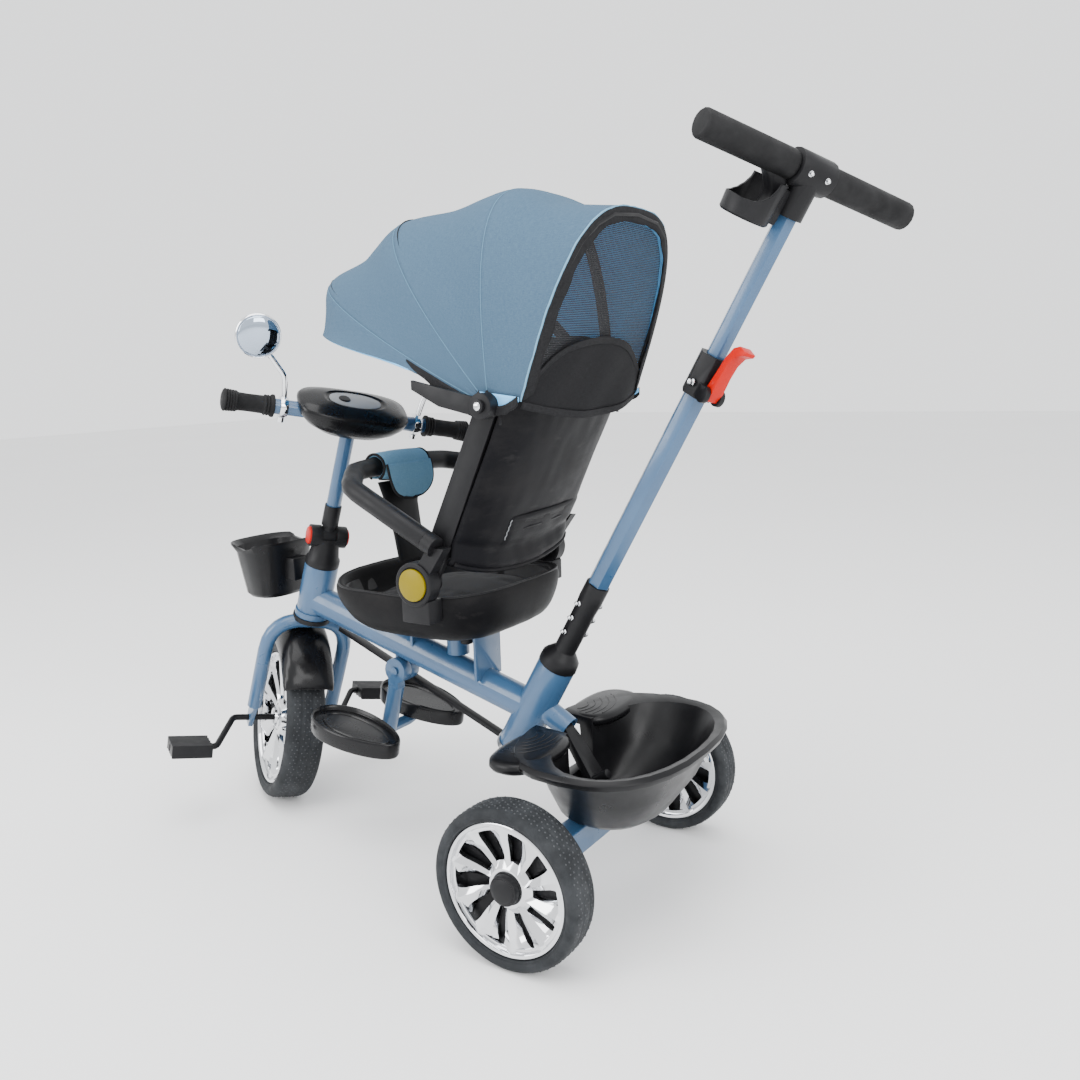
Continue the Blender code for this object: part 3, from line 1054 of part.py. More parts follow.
clear_scene()
parts = collection("childrens_tricycle")
cutters = collection("cutters", hidden=True)
root = frame_at("tricycle", (0, ORIGIN_Y, 0))
steering = frame_at("steering", HEAD, (-RAKE, 0, -STEER), root)
stem_frame = frame_at("stem", (0, 0, HINGE_Z), parent=steering)
wheel_frame = frame_at("front_wheel", (0, -FORK_OFFSET, -WHEEL_DROP), parent=steering)
handle = frame_at("push_handle", POLE_FOOT, (-POLE_TILT, 0, -STEER), root)
upper_frame = frame_at("upper_handle", (0, 0, 0), parent=handle)
seat = frame_at("seat", SWIVEL, parent=root)
backrest = frame_at("backrest", BOSS - SWIVEL, (-BACK_TILT, 0, 0), seat)
bumper_frame = frame_at("bumper", BUMPER_END - SWIVEL, parent=seat)
canopy = frame_at("canopy", CANOPY_PIVOT, parent=root)
bow_third = frame_at("bow_third", (0, 0, 0), parent=canopy)
bow_second = frame_at("bow_second", (0, 0, 0), parent=canopy)
bow_front = frame_at("bow_front", (0, 0, 0), parent=canopy)
foot = frame_at("footrest", FOOT_PIVOT, parent=root)
crank_end = Vector((-LINK_R * cos(STEER), LINK_R * sin(STEER), 0))
ROD_REAR = POLE_FOOT + pole_axis * (REAR_HEAD[0] - 0.0172) + Matrix.Rotation(-POLE_TILT, 3, "X") @ crank_end
ROD_FRONT = HEAD + steering_axis * -0.0045 + Matrix.Rotation(-RAKE, 3, "X") @ crank_end

main_frame()
seat_bracket()
rear_end()
front_basket()
fork()
front_fender()
front_wheel()
rear_wheels()
fold_hinge()
handlebar()
mirrors()
push_handle()
push_rod()
footrest()
seat_shell()
seat_pad()
backrest_pieces()
bumper()
canopy_bows()
canopy_cover()
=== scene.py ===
"""Looks of the children's push tricycle: soft goods, tyres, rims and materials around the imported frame."""

import json
from math import atan2, copysign, cos, pi, radians, sin

import bmesh
import bpy
from mathutils import Matrix, Vector, noise


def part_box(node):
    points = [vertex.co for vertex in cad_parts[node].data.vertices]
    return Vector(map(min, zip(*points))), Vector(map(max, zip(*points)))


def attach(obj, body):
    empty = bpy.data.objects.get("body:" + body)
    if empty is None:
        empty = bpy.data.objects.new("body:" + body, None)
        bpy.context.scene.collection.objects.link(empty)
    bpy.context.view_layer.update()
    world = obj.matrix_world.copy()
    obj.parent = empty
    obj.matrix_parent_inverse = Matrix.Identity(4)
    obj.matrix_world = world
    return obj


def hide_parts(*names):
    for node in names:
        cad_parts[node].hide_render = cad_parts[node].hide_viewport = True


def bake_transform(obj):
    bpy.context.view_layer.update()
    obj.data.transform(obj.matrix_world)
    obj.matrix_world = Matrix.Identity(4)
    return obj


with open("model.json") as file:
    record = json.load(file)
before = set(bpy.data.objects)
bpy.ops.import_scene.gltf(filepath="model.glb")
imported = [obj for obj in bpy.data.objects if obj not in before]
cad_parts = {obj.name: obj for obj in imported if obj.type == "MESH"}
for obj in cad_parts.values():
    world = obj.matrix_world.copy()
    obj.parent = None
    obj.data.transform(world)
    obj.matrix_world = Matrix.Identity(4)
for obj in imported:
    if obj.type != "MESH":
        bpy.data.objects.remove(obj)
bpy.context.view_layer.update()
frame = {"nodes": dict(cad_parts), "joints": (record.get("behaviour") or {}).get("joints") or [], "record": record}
scene = bpy.context.scene
SIDES = (("left", 1), ("right", -1))


# ---------------------------------------------------------------- places from the frame
def joint(name):
    return next(entry for entry in frame["joints"] if entry["name"] == name)


def pivot(name):
    return Vector(joint(name)["pos_m"])


def axis(name):
    return Vector(joint(name)["axis"]).normalized()


def basis(origin, x_axis, z_axis):
    """A matrix from a local frame to the world."""
    x_axis = x_axis.normalized()
    z_axis = (z_axis - x_axis * z_axis.dot(x_axis)).normalized()
    made = Matrix((x_axis, z_axis.cross(x_axis), z_axis)).transposed().to_4x4()
    made.translation = origin
    return made


def to_side(origin, sign):
    """A local frame whose Z axis points out to the left (sign 1) or to the right (sign -1)."""
    return basis(origin, UP * -sign, Vector((sign, 0, 0)))


CANOPY = pivot("canopy_third_fold")
BOSS = pivot("recline")
STEER_AXIS = axis("steering")
SIDE_AXIS = axis("handlebar_fold")
UP = Vector((0, 0, 1))
AT_CANOPY = Matrix.Translation(CANOPY)
STEM = basis(pivot("handlebar_fold"), SIDE_AXIS, STEER_AXIS)
STEERING = basis(pivot("steering"), SIDE_AXIS, STEER_AXIS)
HANDLE = basis(pivot("handle_turn"), -axis("clamp_lever_pivot"), axis("handle_turn"))
BACK_TILT = radians(26)
BACK = Matrix.Translation(BOSS) @ Matrix.Rotation(-BACK_TILT, 4, "X")
SEAT = Matrix.Translation(pivot("seat_swivel"))
BAR_HEIGHT = 0.194      # of the handlebar, up the stem from its fold


# ---------------------------------------------------------------- materials
class Look:
    """A material as it is built up: its node tree, and its surface."""

    def __init__(self, name, roughness, metallic=0.0, **sockets):
        self.material = bpy.data.materials.new(name)
        self.material.use_nodes = True
        self.tree = self.material.node_tree
        self.surface = self.tree.nodes["Principled BSDF"]
        self.wear(Roughness=roughness, Metallic=metallic, **sockets)

    def feed(self, socket, value):
        if isinstance(value, bpy.types.NodeSocket):
            self.tree.links.new(value, socket)
        else:
            socket.default_value = value

    def wear(self, **sockets):
        """Sets the surface's own sockets."""
        for key, value in sockets.items():
            self.feed(self.surface.inputs[key.replace("_", " ")], value)

    def node(self, kind, inputs, **settings):
        made = self.tree.nodes.new("ShaderNode" + kind)
        for key, value in settings.items():
            setattr(made, key, value)
        for key, value in inputs.items():
            self.feed(made.inputs[key], value)
        return made

    def where(self, scale=(1, 1, 1), uv=None):
        """The piece's own coordinates in metres, or those of its unwrapped cloth."""
        if uv:
            source = self.node("UVMap", {}, uv_map=uv).outputs[0]
        else:
            source = self.node("TexCoord", {}).outputs["Object"]
        return self.node("Mapping", {"Vector": source, "Scale": scale}).outputs[0]

    def split(self, where):
        return self.node("SeparateXYZ", {"Vector": where}).outputs

    def noise(self, where, scale=1.0, detail=3.0, roughness=0.55):
        inputs = {"Vector": where, "Scale": scale, "Detail": detail, "Roughness": roughness}
        return self.node("TexNoise", inputs).outputs["Fac"]

    def ramp(self, value, low, high, out_low=0.0, out_high=1.0):
        inputs = {"Value": value, "From Min": low, "From Max": high, "To Min": out_low, "To Max": out_high}
        return self.node("MapRange", inputs).outputs[0]

    def math(self, operation, first, second=0.0):
        return self.node("Math", {0: first, 1: second}, operation=operation).outputs[0]

    def times(self, first, second):
        return self.math("MULTIPLY", first, second)

    def mix(self, share, first, second):
        inputs = {0: share}
        for key, value in ((6, first), (7, second)):
            inputs[key] = value if isinstance(value, bpy.types.NodeSocket) else (*value, 1)
        return self.node("Mix", inputs, data_type="RGBA").outputs[2]

    def bump(self, height, distance, strength):
        """Adds a relief, in metres, on top of any the surface already has."""
        inputs = {"Height": height, "Distance": distance, "Strength": strength}
        before = self.surface.inputs["Normal"].links
        if before:
            inputs["Normal"] = before[0].from_socket
        self.wear(Normal=self.node("Bump", inputs).outputs[0])


def shade(colour, share):
    return tuple(share * part for part in colour)


def paint(name, colour, dark):
    """Powder-coated tube: a faint orange peel, a gloss coat, and small rubbed marks."""
    look = Look(name, 0.34, Coat_Weight=0.35, Coat_Roughness=0.12)
    where = look.where()
    marks = look.ramp(look.noise(look.where((900, 260, 60)), 1.0, 2.0), 0.7, 0.8)
    body = look.mix(look.ramp(look.noise(where, 14, 4), 0.3, 0.75), dark, colour)
    look.wear(Base_Color=look.mix(look.times(marks, 0.35), body, (0.09, 0.16, 0.25)),
              Roughness=look.ramp(look.noise(where, 60), 0.3, 0.7, 0.27, 0.42))
    look.bump(look.noise(where, 420, 1), 0.00012, 0.5)
    return look.material


def plastic(name, colour, pale, rough=(0.38, 0.55), grain=900, depth=0.00008, dust=0.25, coat=0.0):
    """Moulded plastic: an eroded grain, and a paler bloom where hands and dust have been."""
    look = Look(name, rough[0], Coat_Weight=coat, Coat_Roughness=0.08, Specular_IOR_Level=0.2)
    where = look.where()
    bloom = look.ramp(look.noise(where, 9, 5, 0.65), 0.48, 0.8)
    look.wear(Base_Color=look.mix(look.times(bloom, dust), colour, pale),
              Roughness=look.ramp(look.noise(where, 30, 4), 0.3, 0.7, *rough))
    look.bump(look.noise(where, grain, 2), depth, 0.6)
    return look.material


def metal(name, colour, rough, brushed=0.0):
    """Polished or brushed metal with smudges."""
    look = Look(name, rough[0], 1.0)
    where = look.where()
    tone = look.ramp(look.noise(where, 12), 0.3, 0.7)
    look.wear(Roughness=look.ramp(look.noise(where, 45, 4), 0.35, 0.75, *rough),
              Base_Color=look.mix(tone, shade(colour, 0.86), colour))
    if brushed:
        look.bump(look.noise(look.where((40, 40, 2200)), 1.0, 2), brushed, 0.5)
    return look.material


def rubber(name, colour, pale, grain=700):
    """Rubber with moulding grain and dry grey dust in its hollows."""
    look = Look(name, 0.7, Specular_IOR_Level=0.22)
    where = look.where()
    dust = look.ramp(look.noise(where, 22, 6, 0.7), 0.42, 0.78)
    look.wear(Base_Color=look.mix(dust, colour, pale),
              Roughness=look.ramp(look.noise(where, 50), 0.3, 0.7, 0.58, 0.82))
    look.bump(look.noise(where, grain), 0.00015, 0.6)
    return look.material


def sewn(look, body, dark, thread):
    """Adds a seam to a cloth's colour: painted shade in the fold at its edge, and dashes of thread beside it."""
    along, off = look.split(look.where(uv="seam"))[:2]
    line = look.ramp(look.math("ABSOLUTE", look.math("SUBTRACT", off, 0.0075)), 0.0004, 0.0008, 1.0, 0.0)
    dash = look.math("LESS_THAN", look.math("FRACT", look.math("DIVIDE", along, 0.0042)), 0.68)
    fold = look.ramp(off, 0.0, 0.0022, 1.0, 0.0)
    # painted shade: towards the seam, where the cloth folds in, the colour darkens to a darker copy of the cloth's
    # dark yarn
    body = look.mix(look.times(fold, 0.45), body, shade(dark, 0.45))
    look.bump(look.math("SUBTRACT", 1.0, fold), 0.0008, 0.6)
    return look.mix(look.times(look.times(line, dash), 0.6), body, thread)


def fabric(name, dark, light, pitch=0.0011, thread=None):
    """Melange weave: two tones of yarn in short streaks, over a relief of two crossed waves."""
    look = Look(name, 0.88, Specular_IOR_Level=0.15)
    where = look.where(uv="cloth")
    waves = [look.math("SINE", look.times(part, 2 * pi / pitch)) for part in look.split(where)[:2]]
    warp = look.noise(look.where((1100, 120, 1), "cloth"), 1.0, 3, 0.7)
    weft = look.noise(look.where((120, 1100, 1), "cloth"), 1.0, 3, 0.7)
    mixed = look.math("ADD", look.times(warp, 0.5), look.times(weft, 0.5))
    share = look.math("ADD", look.ramp(mixed, 0.36, 0.64, 0.0, 0.8), look.times(look.noise(where, 9), 0.2))
    body = look.mix(share, dark, light)
    if thread:
        body = sewn(look, body, dark, thread)
    look.wear(Base_Color=body)
    look.bump(look.times(*waves), 0.00012, 0.5)
    look.bump(mixed, 0.0003, 0.35)
    return look.material


def leatherette(name, colour, pale):
    """Grained coated cloth, greyer where it has been rubbed."""
    look = Look(name, 0.5, Specular_IOR_Level=0.06)
    where = look.where()
    cells = look.node("TexVoronoi", {"Vector": where, "Scale": 620.0}).outputs["Distance"]
    rub = look.ramp(look.noise(look.where((5, 9, 14)), 1.0, 6, 0.7), 0.46, 0.74)
    fine = look.ramp(look.noise(look.where((26, 60, 90))), 0.6, 0.72)
    share = look.math("MAXIMUM", look.times(rub, 0.7), look.times(fine, 0.5))
    look.wear(Base_Color=look.mix(share, colour, pale), Roughness=look.ramp(rub, 0.0, 1.0, 0.42, 0.62))
    look.bump(cells, 0.00025, 0.35)
    look.bump(look.noise(where, 40), 0.0012, 0.2)
    return look.material


def net(name, colour, cell, cover):
    """Open mesh: threads round small holes that let light through."""
    look = Look(name, 0.8)
    cross = []
    for part in look.split(look.where((1 / cell, 1 / cell, 1), "cloth"))[:2]:
        cross.append(look.math("ABSOLUTE", look.math("SUBTRACT", look.math("FRACT", part), 0.5)))
    far = look.math("MAXIMUM", *cross)
    edge = 0.5 - cover / 2
    look.wear(Alpha=look.ramp(far, edge - 0.05, edge + 0.05),
              Base_Color=look.mix(look.noise(look.where(), 300, 2), colour, shade(colour, 2.2)))
    look.bump(far, 0.0003, 0.5)
    return look.material


def holes_cloth(name, colour, pale):
    """Perforated lining cloth."""
    look = Look(name, 0.8, Specular_IOR_Level=0.2)
    where = look.where()
    pitch = 0.0042
    inputs = {"Vector": where, "Scale": 1 / pitch, "Randomness": 0.0}
    dots = look.node("TexVoronoi", inputs).outputs["Distance"]
    hole = look.ramp(dots, 0.2, 0.3, 1.0, 0.0)
    body = look.mix(look.noise(where, 380), colour, pale)
    look.wear(Base_Color=look.mix(hole, body, (0.004, 0.004, 0.004)))
    look.bump(look.math("SUBTRACT", 1.0, hole), 0.0006, 0.7)
    look.bump(look.noise(where, 900, 2), 0.0002, 0.5)
    return look.material


BLUE_PAINT = paint("blue_paint", (0.036, 0.098, 0.195), (0.028, 0.08, 0.165))
BLACK = plastic("black_moulded", (0.006, 0.006, 0.007), (0.028, 0.028, 0.03))
BLACK_SHINY = plastic("black_shiny", (0.004, 0.004, 0.0048), (0.02, 0.02, 0.02),
                      (0.22, 0.34), 500, 0.00003, 0.12, 0.1)
BLACK_METAL = plastic("black_coated_steel", (0.006, 0.006, 0.007), (0.03, 0.03, 0.03),
                      (0.28, 0.42), 600, 0.00005, 0.2)
BASKET_BLACK = plastic("basket_plastic", (0.0042, 0.0042, 0.005), (0.026, 0.026, 0.028),
                       (0.26, 0.4), 700, 0.00005)
RED = plastic("red_moulded", (0.46, 0.004, 0.0005), (0.4, 0.01, 0.003), (0.3, 0.44), 600, 0.00004, 0.12)
YELLOW = plastic("yellow_moulded", (0.19, 0.145, 0.0001), (0.21, 0.16, 0.001),
                 (0.36, 0.52), 600, 0.00005, 0.3)
LIGHT_GREY = plastic("grey_moulded", (0.24, 0.25, 0.26), (0.36, 0.36, 0.36), (0.3, 0.42), 600, 0.00004, 0.2)
CHROME = metal("chrome_plate", (0.78, 0.79, 0.81), (0.03, 0.1))
RIM_CHROME = metal("rim_chrome", (0.74, 0.75, 0.77), (0.05, 0.15))
STEEL = metal("zinc_plate", (0.5, 0.51, 0.52), (0.22, 0.38), 0.00005)
GLASS = metal("mirror_face", (0.4, 0.47, 0.57), (0.01, 0.06))
TYRE = rubber("tyre_rubber_dusty", (0.013, 0.0145, 0.0165), (0.036, 0.039, 0.043))
TYRE_DOTS = rubber("tyre_dots", (0.045, 0.048, 0.052), (0.075, 0.08, 0.086))
GRIP = rubber("grip_rubber_black", (0.0045, 0.0045, 0.005), (0.012, 0.012, 0.013), 1000)
FOAM = rubber("grip_foam", (0.006, 0.006, 0.0066), (0.015, 0.015, 0.016), 1500)
CANOPY_CLOTH = fabric("canopy_melange", (0.14, 0.44, 0.78), (0.205, 0.53, 0.88), thread=(0.22, 0.53, 0.8))
CANOPY_INSIDE = fabric("canopy_inside", (0.04, 0.08, 0.13), (0.075, 0.13, 0.19))
WEBBING = fabric("black_webbing", (0.005, 0.005, 0.0055), (0.022, 0.022, 0.024), 0.0016)
PANEL_CLOTH = fabric("black_panel_cloth", (0.005, 0.005, 0.0058), (0.015, 0.015, 0.0165), 0.0013)
WINDOW_NET = net("window_net", (0.006, 0.0065, 0.008), 0.0021, 0.46)
BACK_LEATHER = leatherette("back_leatherette", (0.0055, 0.0055, 0.0068), (0.022, 0.021, 0.021))
SEAT_LEATHER = leatherette("seat_leatherette", (0.005, 0.005, 0.0058), (0.018, 0.017, 0.017))
SEAT_CLOTH = holes_cloth("seat_perforated", (0.008, 0.008, 0.009), (0.024, 0.024, 0.026))
PAD_CLOTH = fabric("pad_melange", (0.11, 0.25, 0.37), (0.18, 0.34, 0.47))
SEAM_CLOTH = fabric("canopy_seam", (0.07, 0.15, 0.225), (0.11, 0.205, 0.29))


# ---------------------------------------------------------------- mesh tools
def new_object(name, mesh, finish, place=None):
    """An object of a mesh, with one finish or a tuple of them."""
    obj = bpy.data.objects.new(name, mesh)
    scene.collection.objects.link(obj)
    for entry in finish if isinstance(finish, (list, tuple)) else (finish,):
        mesh.materials.append(entry)
    if place is not None:
        mesh.transform(place)
    return obj


def belongs(obj, body, node=None):
    """The body that a piece rides on, and the CAD node that it is shown in place of."""
    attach(obj, body)
    if node:
        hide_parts(node)


def soften(mesh, angle):
    mesh.shade_smooth()
    mesh.set_sharp_from_angle(angle=radians(angle))


def evaluated(obj):
    """The object's mesh with its modifiers applied."""
    graph = bpy.context.evaluated_depsgraph_get()
    return bpy.data.meshes.new_from_object(obj.evaluated_get(graph))


def rework(obj, change):
    """Edits a closed piece's mesh, and turns its faces outwards."""
    shape = bmesh.new()
    shape.from_mesh(obj.data)
    change(shape)
    bmesh.ops.recalc_face_normals(shape, faces=shape.faces)
    shape.to_mesh(obj.data)
    shape.free()


def run_of(points):
    """The distance along a line to each of its points."""
    run = [0.0]
    for before, after in zip(points, points[1:]):
        run.append(run[-1] + (after - before).length)
    return run


def surface(rows, columns, point):
    """Rows of points, from point(share of the rows, share of the columns)."""
    return [[point(j / rows, i / columns) for i in range(columns + 1)] for j in range(rows + 1)]


def grid(name, rows, finish, place=None, seam_rows=None, closed=False, angle=60):
    """A sheet through rows of points, unwrapped in metres; seam_rows is each row's distance from a seam."""
    mesh = bpy.data.meshes.new(name)
    count = len(rows[0])
    faces = []
    for j in range(len(rows) - 1):
        for i in range(count if closed else count - 1):
            k = (i + 1) % count
            faces.append((j * count + i, j * count + k, (j + 1) * count + k, (j + 1) * count + i))
    mesh.from_pydata([point for row in rows for point in row], [], faces)
    across = run_of([row[count // 2] for row in rows])
    centre_row = rows[len(rows) // 2]
    ruler = run_of(centre_row + centre_row[:1])
    cloth = mesh.uv_layers.new(name="cloth")
    seam = mesh.uv_layers.new(name="seam")
    loop = 0
    for face in mesh.polygons:
        columns = [vertex % count for vertex in face.vertices]
        wraps = closed and 0 in columns and count - 1 in columns
        for vertex in face.vertices:
            j, i = divmod(vertex, count)
            u = ruler[count] if wraps and i == 0 else ruler[i]
            cloth.data[loop].uv = (u, across[j])
            seam.data[loop].uv = (u, seam_rows[j] if seam_rows else 1.0)
            loop += 1
    soften(mesh, angle)
    return new_object(name, mesh, finish, place)


def thicken(obj, thickness, offset=-1.0, inside=0):
    """Gives a sheet a thickness; inside is the finish of its second face."""
    made = obj.modifiers.new("thickness", "SOLIDIFY")
    made.thickness = thickness
    made.offset = offset
    made.material_offset = inside
    return obj


def tube(name, points, radius, finish, closed=False, sides=2, place=None):
    """A round cord or pipe along a path."""
    curve = bpy.data.curves.new(name, "CURVE")
    curve.dimensions = "3D"
    curve.bevel_depth = radius
    curve.bevel_resolution = sides
    curve.use_fill_caps = True
    spline = curve.splines.new("POLY")
    spline.points.add(len(points) - 1)
    spline.use_cyclic_u = closed
    for knot, point in zip(spline.points, points):
        knot.co = (*point, 1)
    guide = bpy.data.objects.new(name + "_guide", curve)
    scene.collection.objects.link(guide)
    mesh = evaluated(guide)
    bpy.data.objects.remove(guide, do_unlink=True)
    mesh.name = name
    mesh.materials.clear()
    while mesh.uv_layers:
        mesh.uv_layers.remove(mesh.uv_layers[0])
    for layer in ("cloth", "seam"):
        made = mesh.uv_layers.new(name=layer)
        for loop in mesh.loops:
            point = mesh.vertices[loop.vertex_index].co
            made.data[loop.index].uv = (point.x + point.y, point.z) if layer == "cloth" else (point.x, 1.0)
    soften(mesh, 50)
    return new_object(name, mesh, finish, place)


def lathe(name, profile, finish, place, steps=64, angle=30):
    """A profile of (radius, height) turned round the local Z axis."""
    turns = [2 * pi * k / steps for k in range(steps)]
    rows = []
    for radius, height in profile:
        rows.append([Vector((radius * cos(turn), radius * sin(turn), height)) for turn in turns])
    obj = grid(name, rows, finish, place, closed=True, angle=angle)
    rework(obj, lambda shape: bmesh.ops.remove_doubles(shape, verts=shape.verts, dist=1e-6))
    return obj


def capped(obj):
    """Closes the first and last ring of a lofted piece."""
    def fill(shape):
        open_edges = [edge for edge in shape.edges if edge.is_boundary]
        bmesh.ops.holes_fill(shape, edges=open_edges, sides=0)

    rework(obj, fill)
    soften(obj.data, 50)
    return obj


def merged(name, objects):
    """Several meshes made into one piece, with their materials."""
    shape = bmesh.new()
    slots = []
    for obj in objects:
        before = len(shape.faces)
        shape.from_mesh(obj.data)
        shape.faces.ensure_lookup_table()
        for face in shape.faces[before:]:
            face.material_index += len(slots)
        slots.extend(obj.data.materials[:])
        bpy.data.objects.remove(obj, do_unlink=True)
    mesh = bpy.data.meshes.new(name)
    shape.to_mesh(mesh)
    shape.free()
    return new_object(name, mesh, slots)


def ripple(point):
    """Smooth noise, which varies over about one unit."""
    return noise.noise(Vector(point))


def ramp_down(distance, width):
    """One at no distance, falling evenly to nothing at the width."""
    return max(0.0, 1 - abs(distance) / width)


def spans_of(knots):
    """Each span of a line of knots, as the knots before it, at its start, at its end and after it."""
    last = len(knots) - 1
    for k in range(last):
        yield knots[max(k - 1, 0)], knots[k], knots[k + 1], knots[min(k + 2, last)]


def catmull(before, start, end, after, t):
    """A point between start and end on the smooth curve through four knots."""
    return 0.5 * ((2 * start) + (end - before) * t + (2 * before - 5 * start + 4 * end - after) * t * t
                  + (3 * start - before - 3 * end + after) * t * t * t)


def even(line, count):
    """The same line with its points at equal distances."""
    lengths = run_of(line)
    made = []
    k = 0
    for i in range(count + 1):
        wanted = lengths[-1] * i / count
        while k < len(lengths) - 2 and lengths[k + 1] < wanted:
            k += 1
        span = max(lengths[k + 1] - lengths[k], 1e-9)
        made.append(line[k].lerp(line[k + 1], min(1.0, (wanted - lengths[k]) / span)))
    return made


def squared(angle, power):
    """The cosine and sine of an angle, pushed out towards the corners of a square."""
    return [copysign(abs(part) ** (2 / power), part) for part in (cos(angle), sin(angle))]


def oval_ring(half_x, half_y, z, power, count, centre_y=0.0):
    """A closed ring at a height, with its points at equal distances."""
    ring = []
    for i in range(72):
        x, y = squared(2 * pi * i / 72, power)
        ring.append(Vector((x * half_x, centre_y + y * half_y, z)))
    return even(ring + ring[:1], count)[:-1]


def fitted(levels, between):
    """Smooth levels (a list of tuples) by a spline, with extra levels between."""
    made = []
    for knots in spans_of(levels):
        for s in range(between):
            made.append(tuple(catmull(*values, s / between) for values in zip(*knots)))
    made.append(levels[-1])
    return made


def levels_of(name, levels, finish, place, count=72, angle=35):
    """A closed body through ovals: (half x, half y, height, squareness)."""
    rows = [oval_ring(half_x, half_y, z, power, count) for half_x, half_y, z, power in levels]
    return capped(grid(name, rows, finish, place, closed=True, angle=angle))


def ribbon(name, line, edges_at, finish, place, thickness, across=4):
    """A band along a line; edges_at(i, point) gives the two edges of the band at each point."""
    edges = [edges_at(i, point) for i, point in enumerate(line)]
    rows = [[a.lerp(b, k / across) for a, b in edges] for k in range(across + 1)]
    return thicken(grid(name, rows, finish, place), thickness, 0.0)


# ---------------------------------------------------------------- canopy
FRONT_BOW = (64.2, 0.3876, 0.148, 2.1)      # lean in degrees, reach, half width, squareness
SECOND_BOW = (40.8, 0.3112, 0.1455, 2.5)
THIRD_BOW = (3.7, 0.256, 0.146, 3.0)
COLUMNS = 72
STEPS = 12
BOW_START = 0.013       # how far over the canopy's pivot each bow begins
REAR_LOW = Vector((0, 0.041, 0.004))
REAR_RISE = Vector((0, 0.08, 0.217))


def arch(half, power):
    """Points over a half oval of height 1: (x, height)."""
    for i in range(241):
        x, rise = squared(pi * i / 240, power)
        yield x * half, rise


def bow_line(bow):
    """A bow's line over the seat, in a plane through the canopy's pivot."""
    lean, reach, half, power = bow
    out = Vector((0, -sin(radians(lean)), cos(radians(lean))))
    line = []
    for x, rise in arch(half, power):
        line.append(Vector((x, 0, 0)) + out * (BOW_START + (reach - BOW_START) * rise))
    return even(line, COLUMNS)


def peak_line():
    line = [Vector((x, -0.138 - 0.209 * rise, 0.052 + 0.05 * rise)) for x, rise in arch(0.145, 2.2)]
    return even(line, COLUMNS)


def rear_line():
    return even([Vector((x, 0, 0)) + REAR_LOW + REAR_RISE * rise for x, rise in arch(0.14, 3.0)], COLUMNS)


def sagged(first, second, sink):
    """The line halfway between two bows, where the cloth sinks in."""
    line = []
    for a, b in zip(first, second):
        point = a.lerp(b, 0.5)
        out = Vector((0, point.y, point.z)).normalized()
        line.append(point - out * sink * (1 - abs(point.x) / 0.2))
    return line


def curtain(knots, steps):
    """Rows of points on a smooth sheet through lines of equal count. Returns one list of rows per span."""
    spans = []
    for lines in spans_of(knots):
        spans.append([[catmull(*points, s / steps) for points in zip(*lines)] for s in range(steps + 1)])
    return spans


def crumple(rows, tallest):
    """Small soft wrinkles, none at the sheet's first and last rows."""
    for j, row in enumerate(rows):
        hold = sin(pi * j / (len(rows) - 1))
        for point in row:
            out = Vector((point.x * 0.6, point.y, point.z)).normalized()
            lift = ripple((point.x * 16, point.y * 16 + 5, point.z * 16)) * 0.7
            lift += ripple((point.x * 55, point.y * 40, point.z * 40 + 9)) * 0.3
            point += out * lift * tallest * hold
    return rows


def seam_distances(rows):
    """Distance of each row from the nearer of the sheet's two seams, measured at the middle."""
    run = run_of([row[len(row) // 2] for row in rows])
    return [min(distance, run[-1] - distance) for distance in run]


def outward(point):
    return Vector((point.x * 0.5, point.y, point.z)).normalized()


def cloth_sheet(name, rows, thickness):
    obj = grid(name, rows, (CANOPY_CLOTH, CANOPY_INSIDE), AT_CANOPY, seam_distances(rows))
    return obj, lambda: thicken(obj, thickness, 0.0, inside=1)


def canopy():
    """Three gores between the bows and the backrest, the peak in front of them, and all that is sewn on."""
    front, second, third, rear = bow_line(FRONT_BOW), bow_line(SECOND_BOW), bow_line(THIRD_BOW), rear_line()
    spans = curtain([peak_line(), front, sagged(front, second, 0.009), second, sagged(second, third, 0.005),
                     third, sagged(third, rear, 0.008), rear], STEPS)
    for name, rows, low_body, high_body, low_line, high_line, bow in (
            ("front", spans[1] + spans[2][1:], "bow_second", "bow_front", second, front, "second"),
            ("middle", spans[3] + spans[4][1:], "bow_third", "bow_second", third, second, "third"),
            ("rear", spans[5] + spans[6][1:], "backrest", "bow_third", rear, third, "rear")):
        cloth, finish = cloth_sheet("canopy_gore_" + name, crumple(rows, 0.0016), 0.0012)
        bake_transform(cloth)
        finish()
        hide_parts("canopy_cover")
    rows = crumple(spans[0], 0.0022)
    peak, finish = cloth_sheet("canopy_peak", rows, 0.0014)
    finish()
    belongs(peak, "bow_front")
    for name, line in (("front", front), ("second", second), ("third", third)):
        out = [point + outward(point) * 0.0004 for point in line]
        piping = tube("canopy_piping_" + name, out, 0.0007, SEAM_CLOTH, place=AT_CANOPY)
        belongs(piping, "bow_" + name)
        belongs(bow_sleeve(name, line), "bow_" + name)
    hems(front, rear)
    window(rear)


def bow_sleeve(name, line):
    """The black channel inside the cloth that holds a bow."""
    top = line[len(line) // 2]
    lean = Vector((0, top.z, -top.y)).normalized() * 0.0085

    def edges(i, point):
        base = point - outward(point) * 0.0022
        return base - lean, base + lean

    return ribbon("canopy_sleeve_" + name, line, edges, WEBBING, AT_CANOPY, 0.0008)


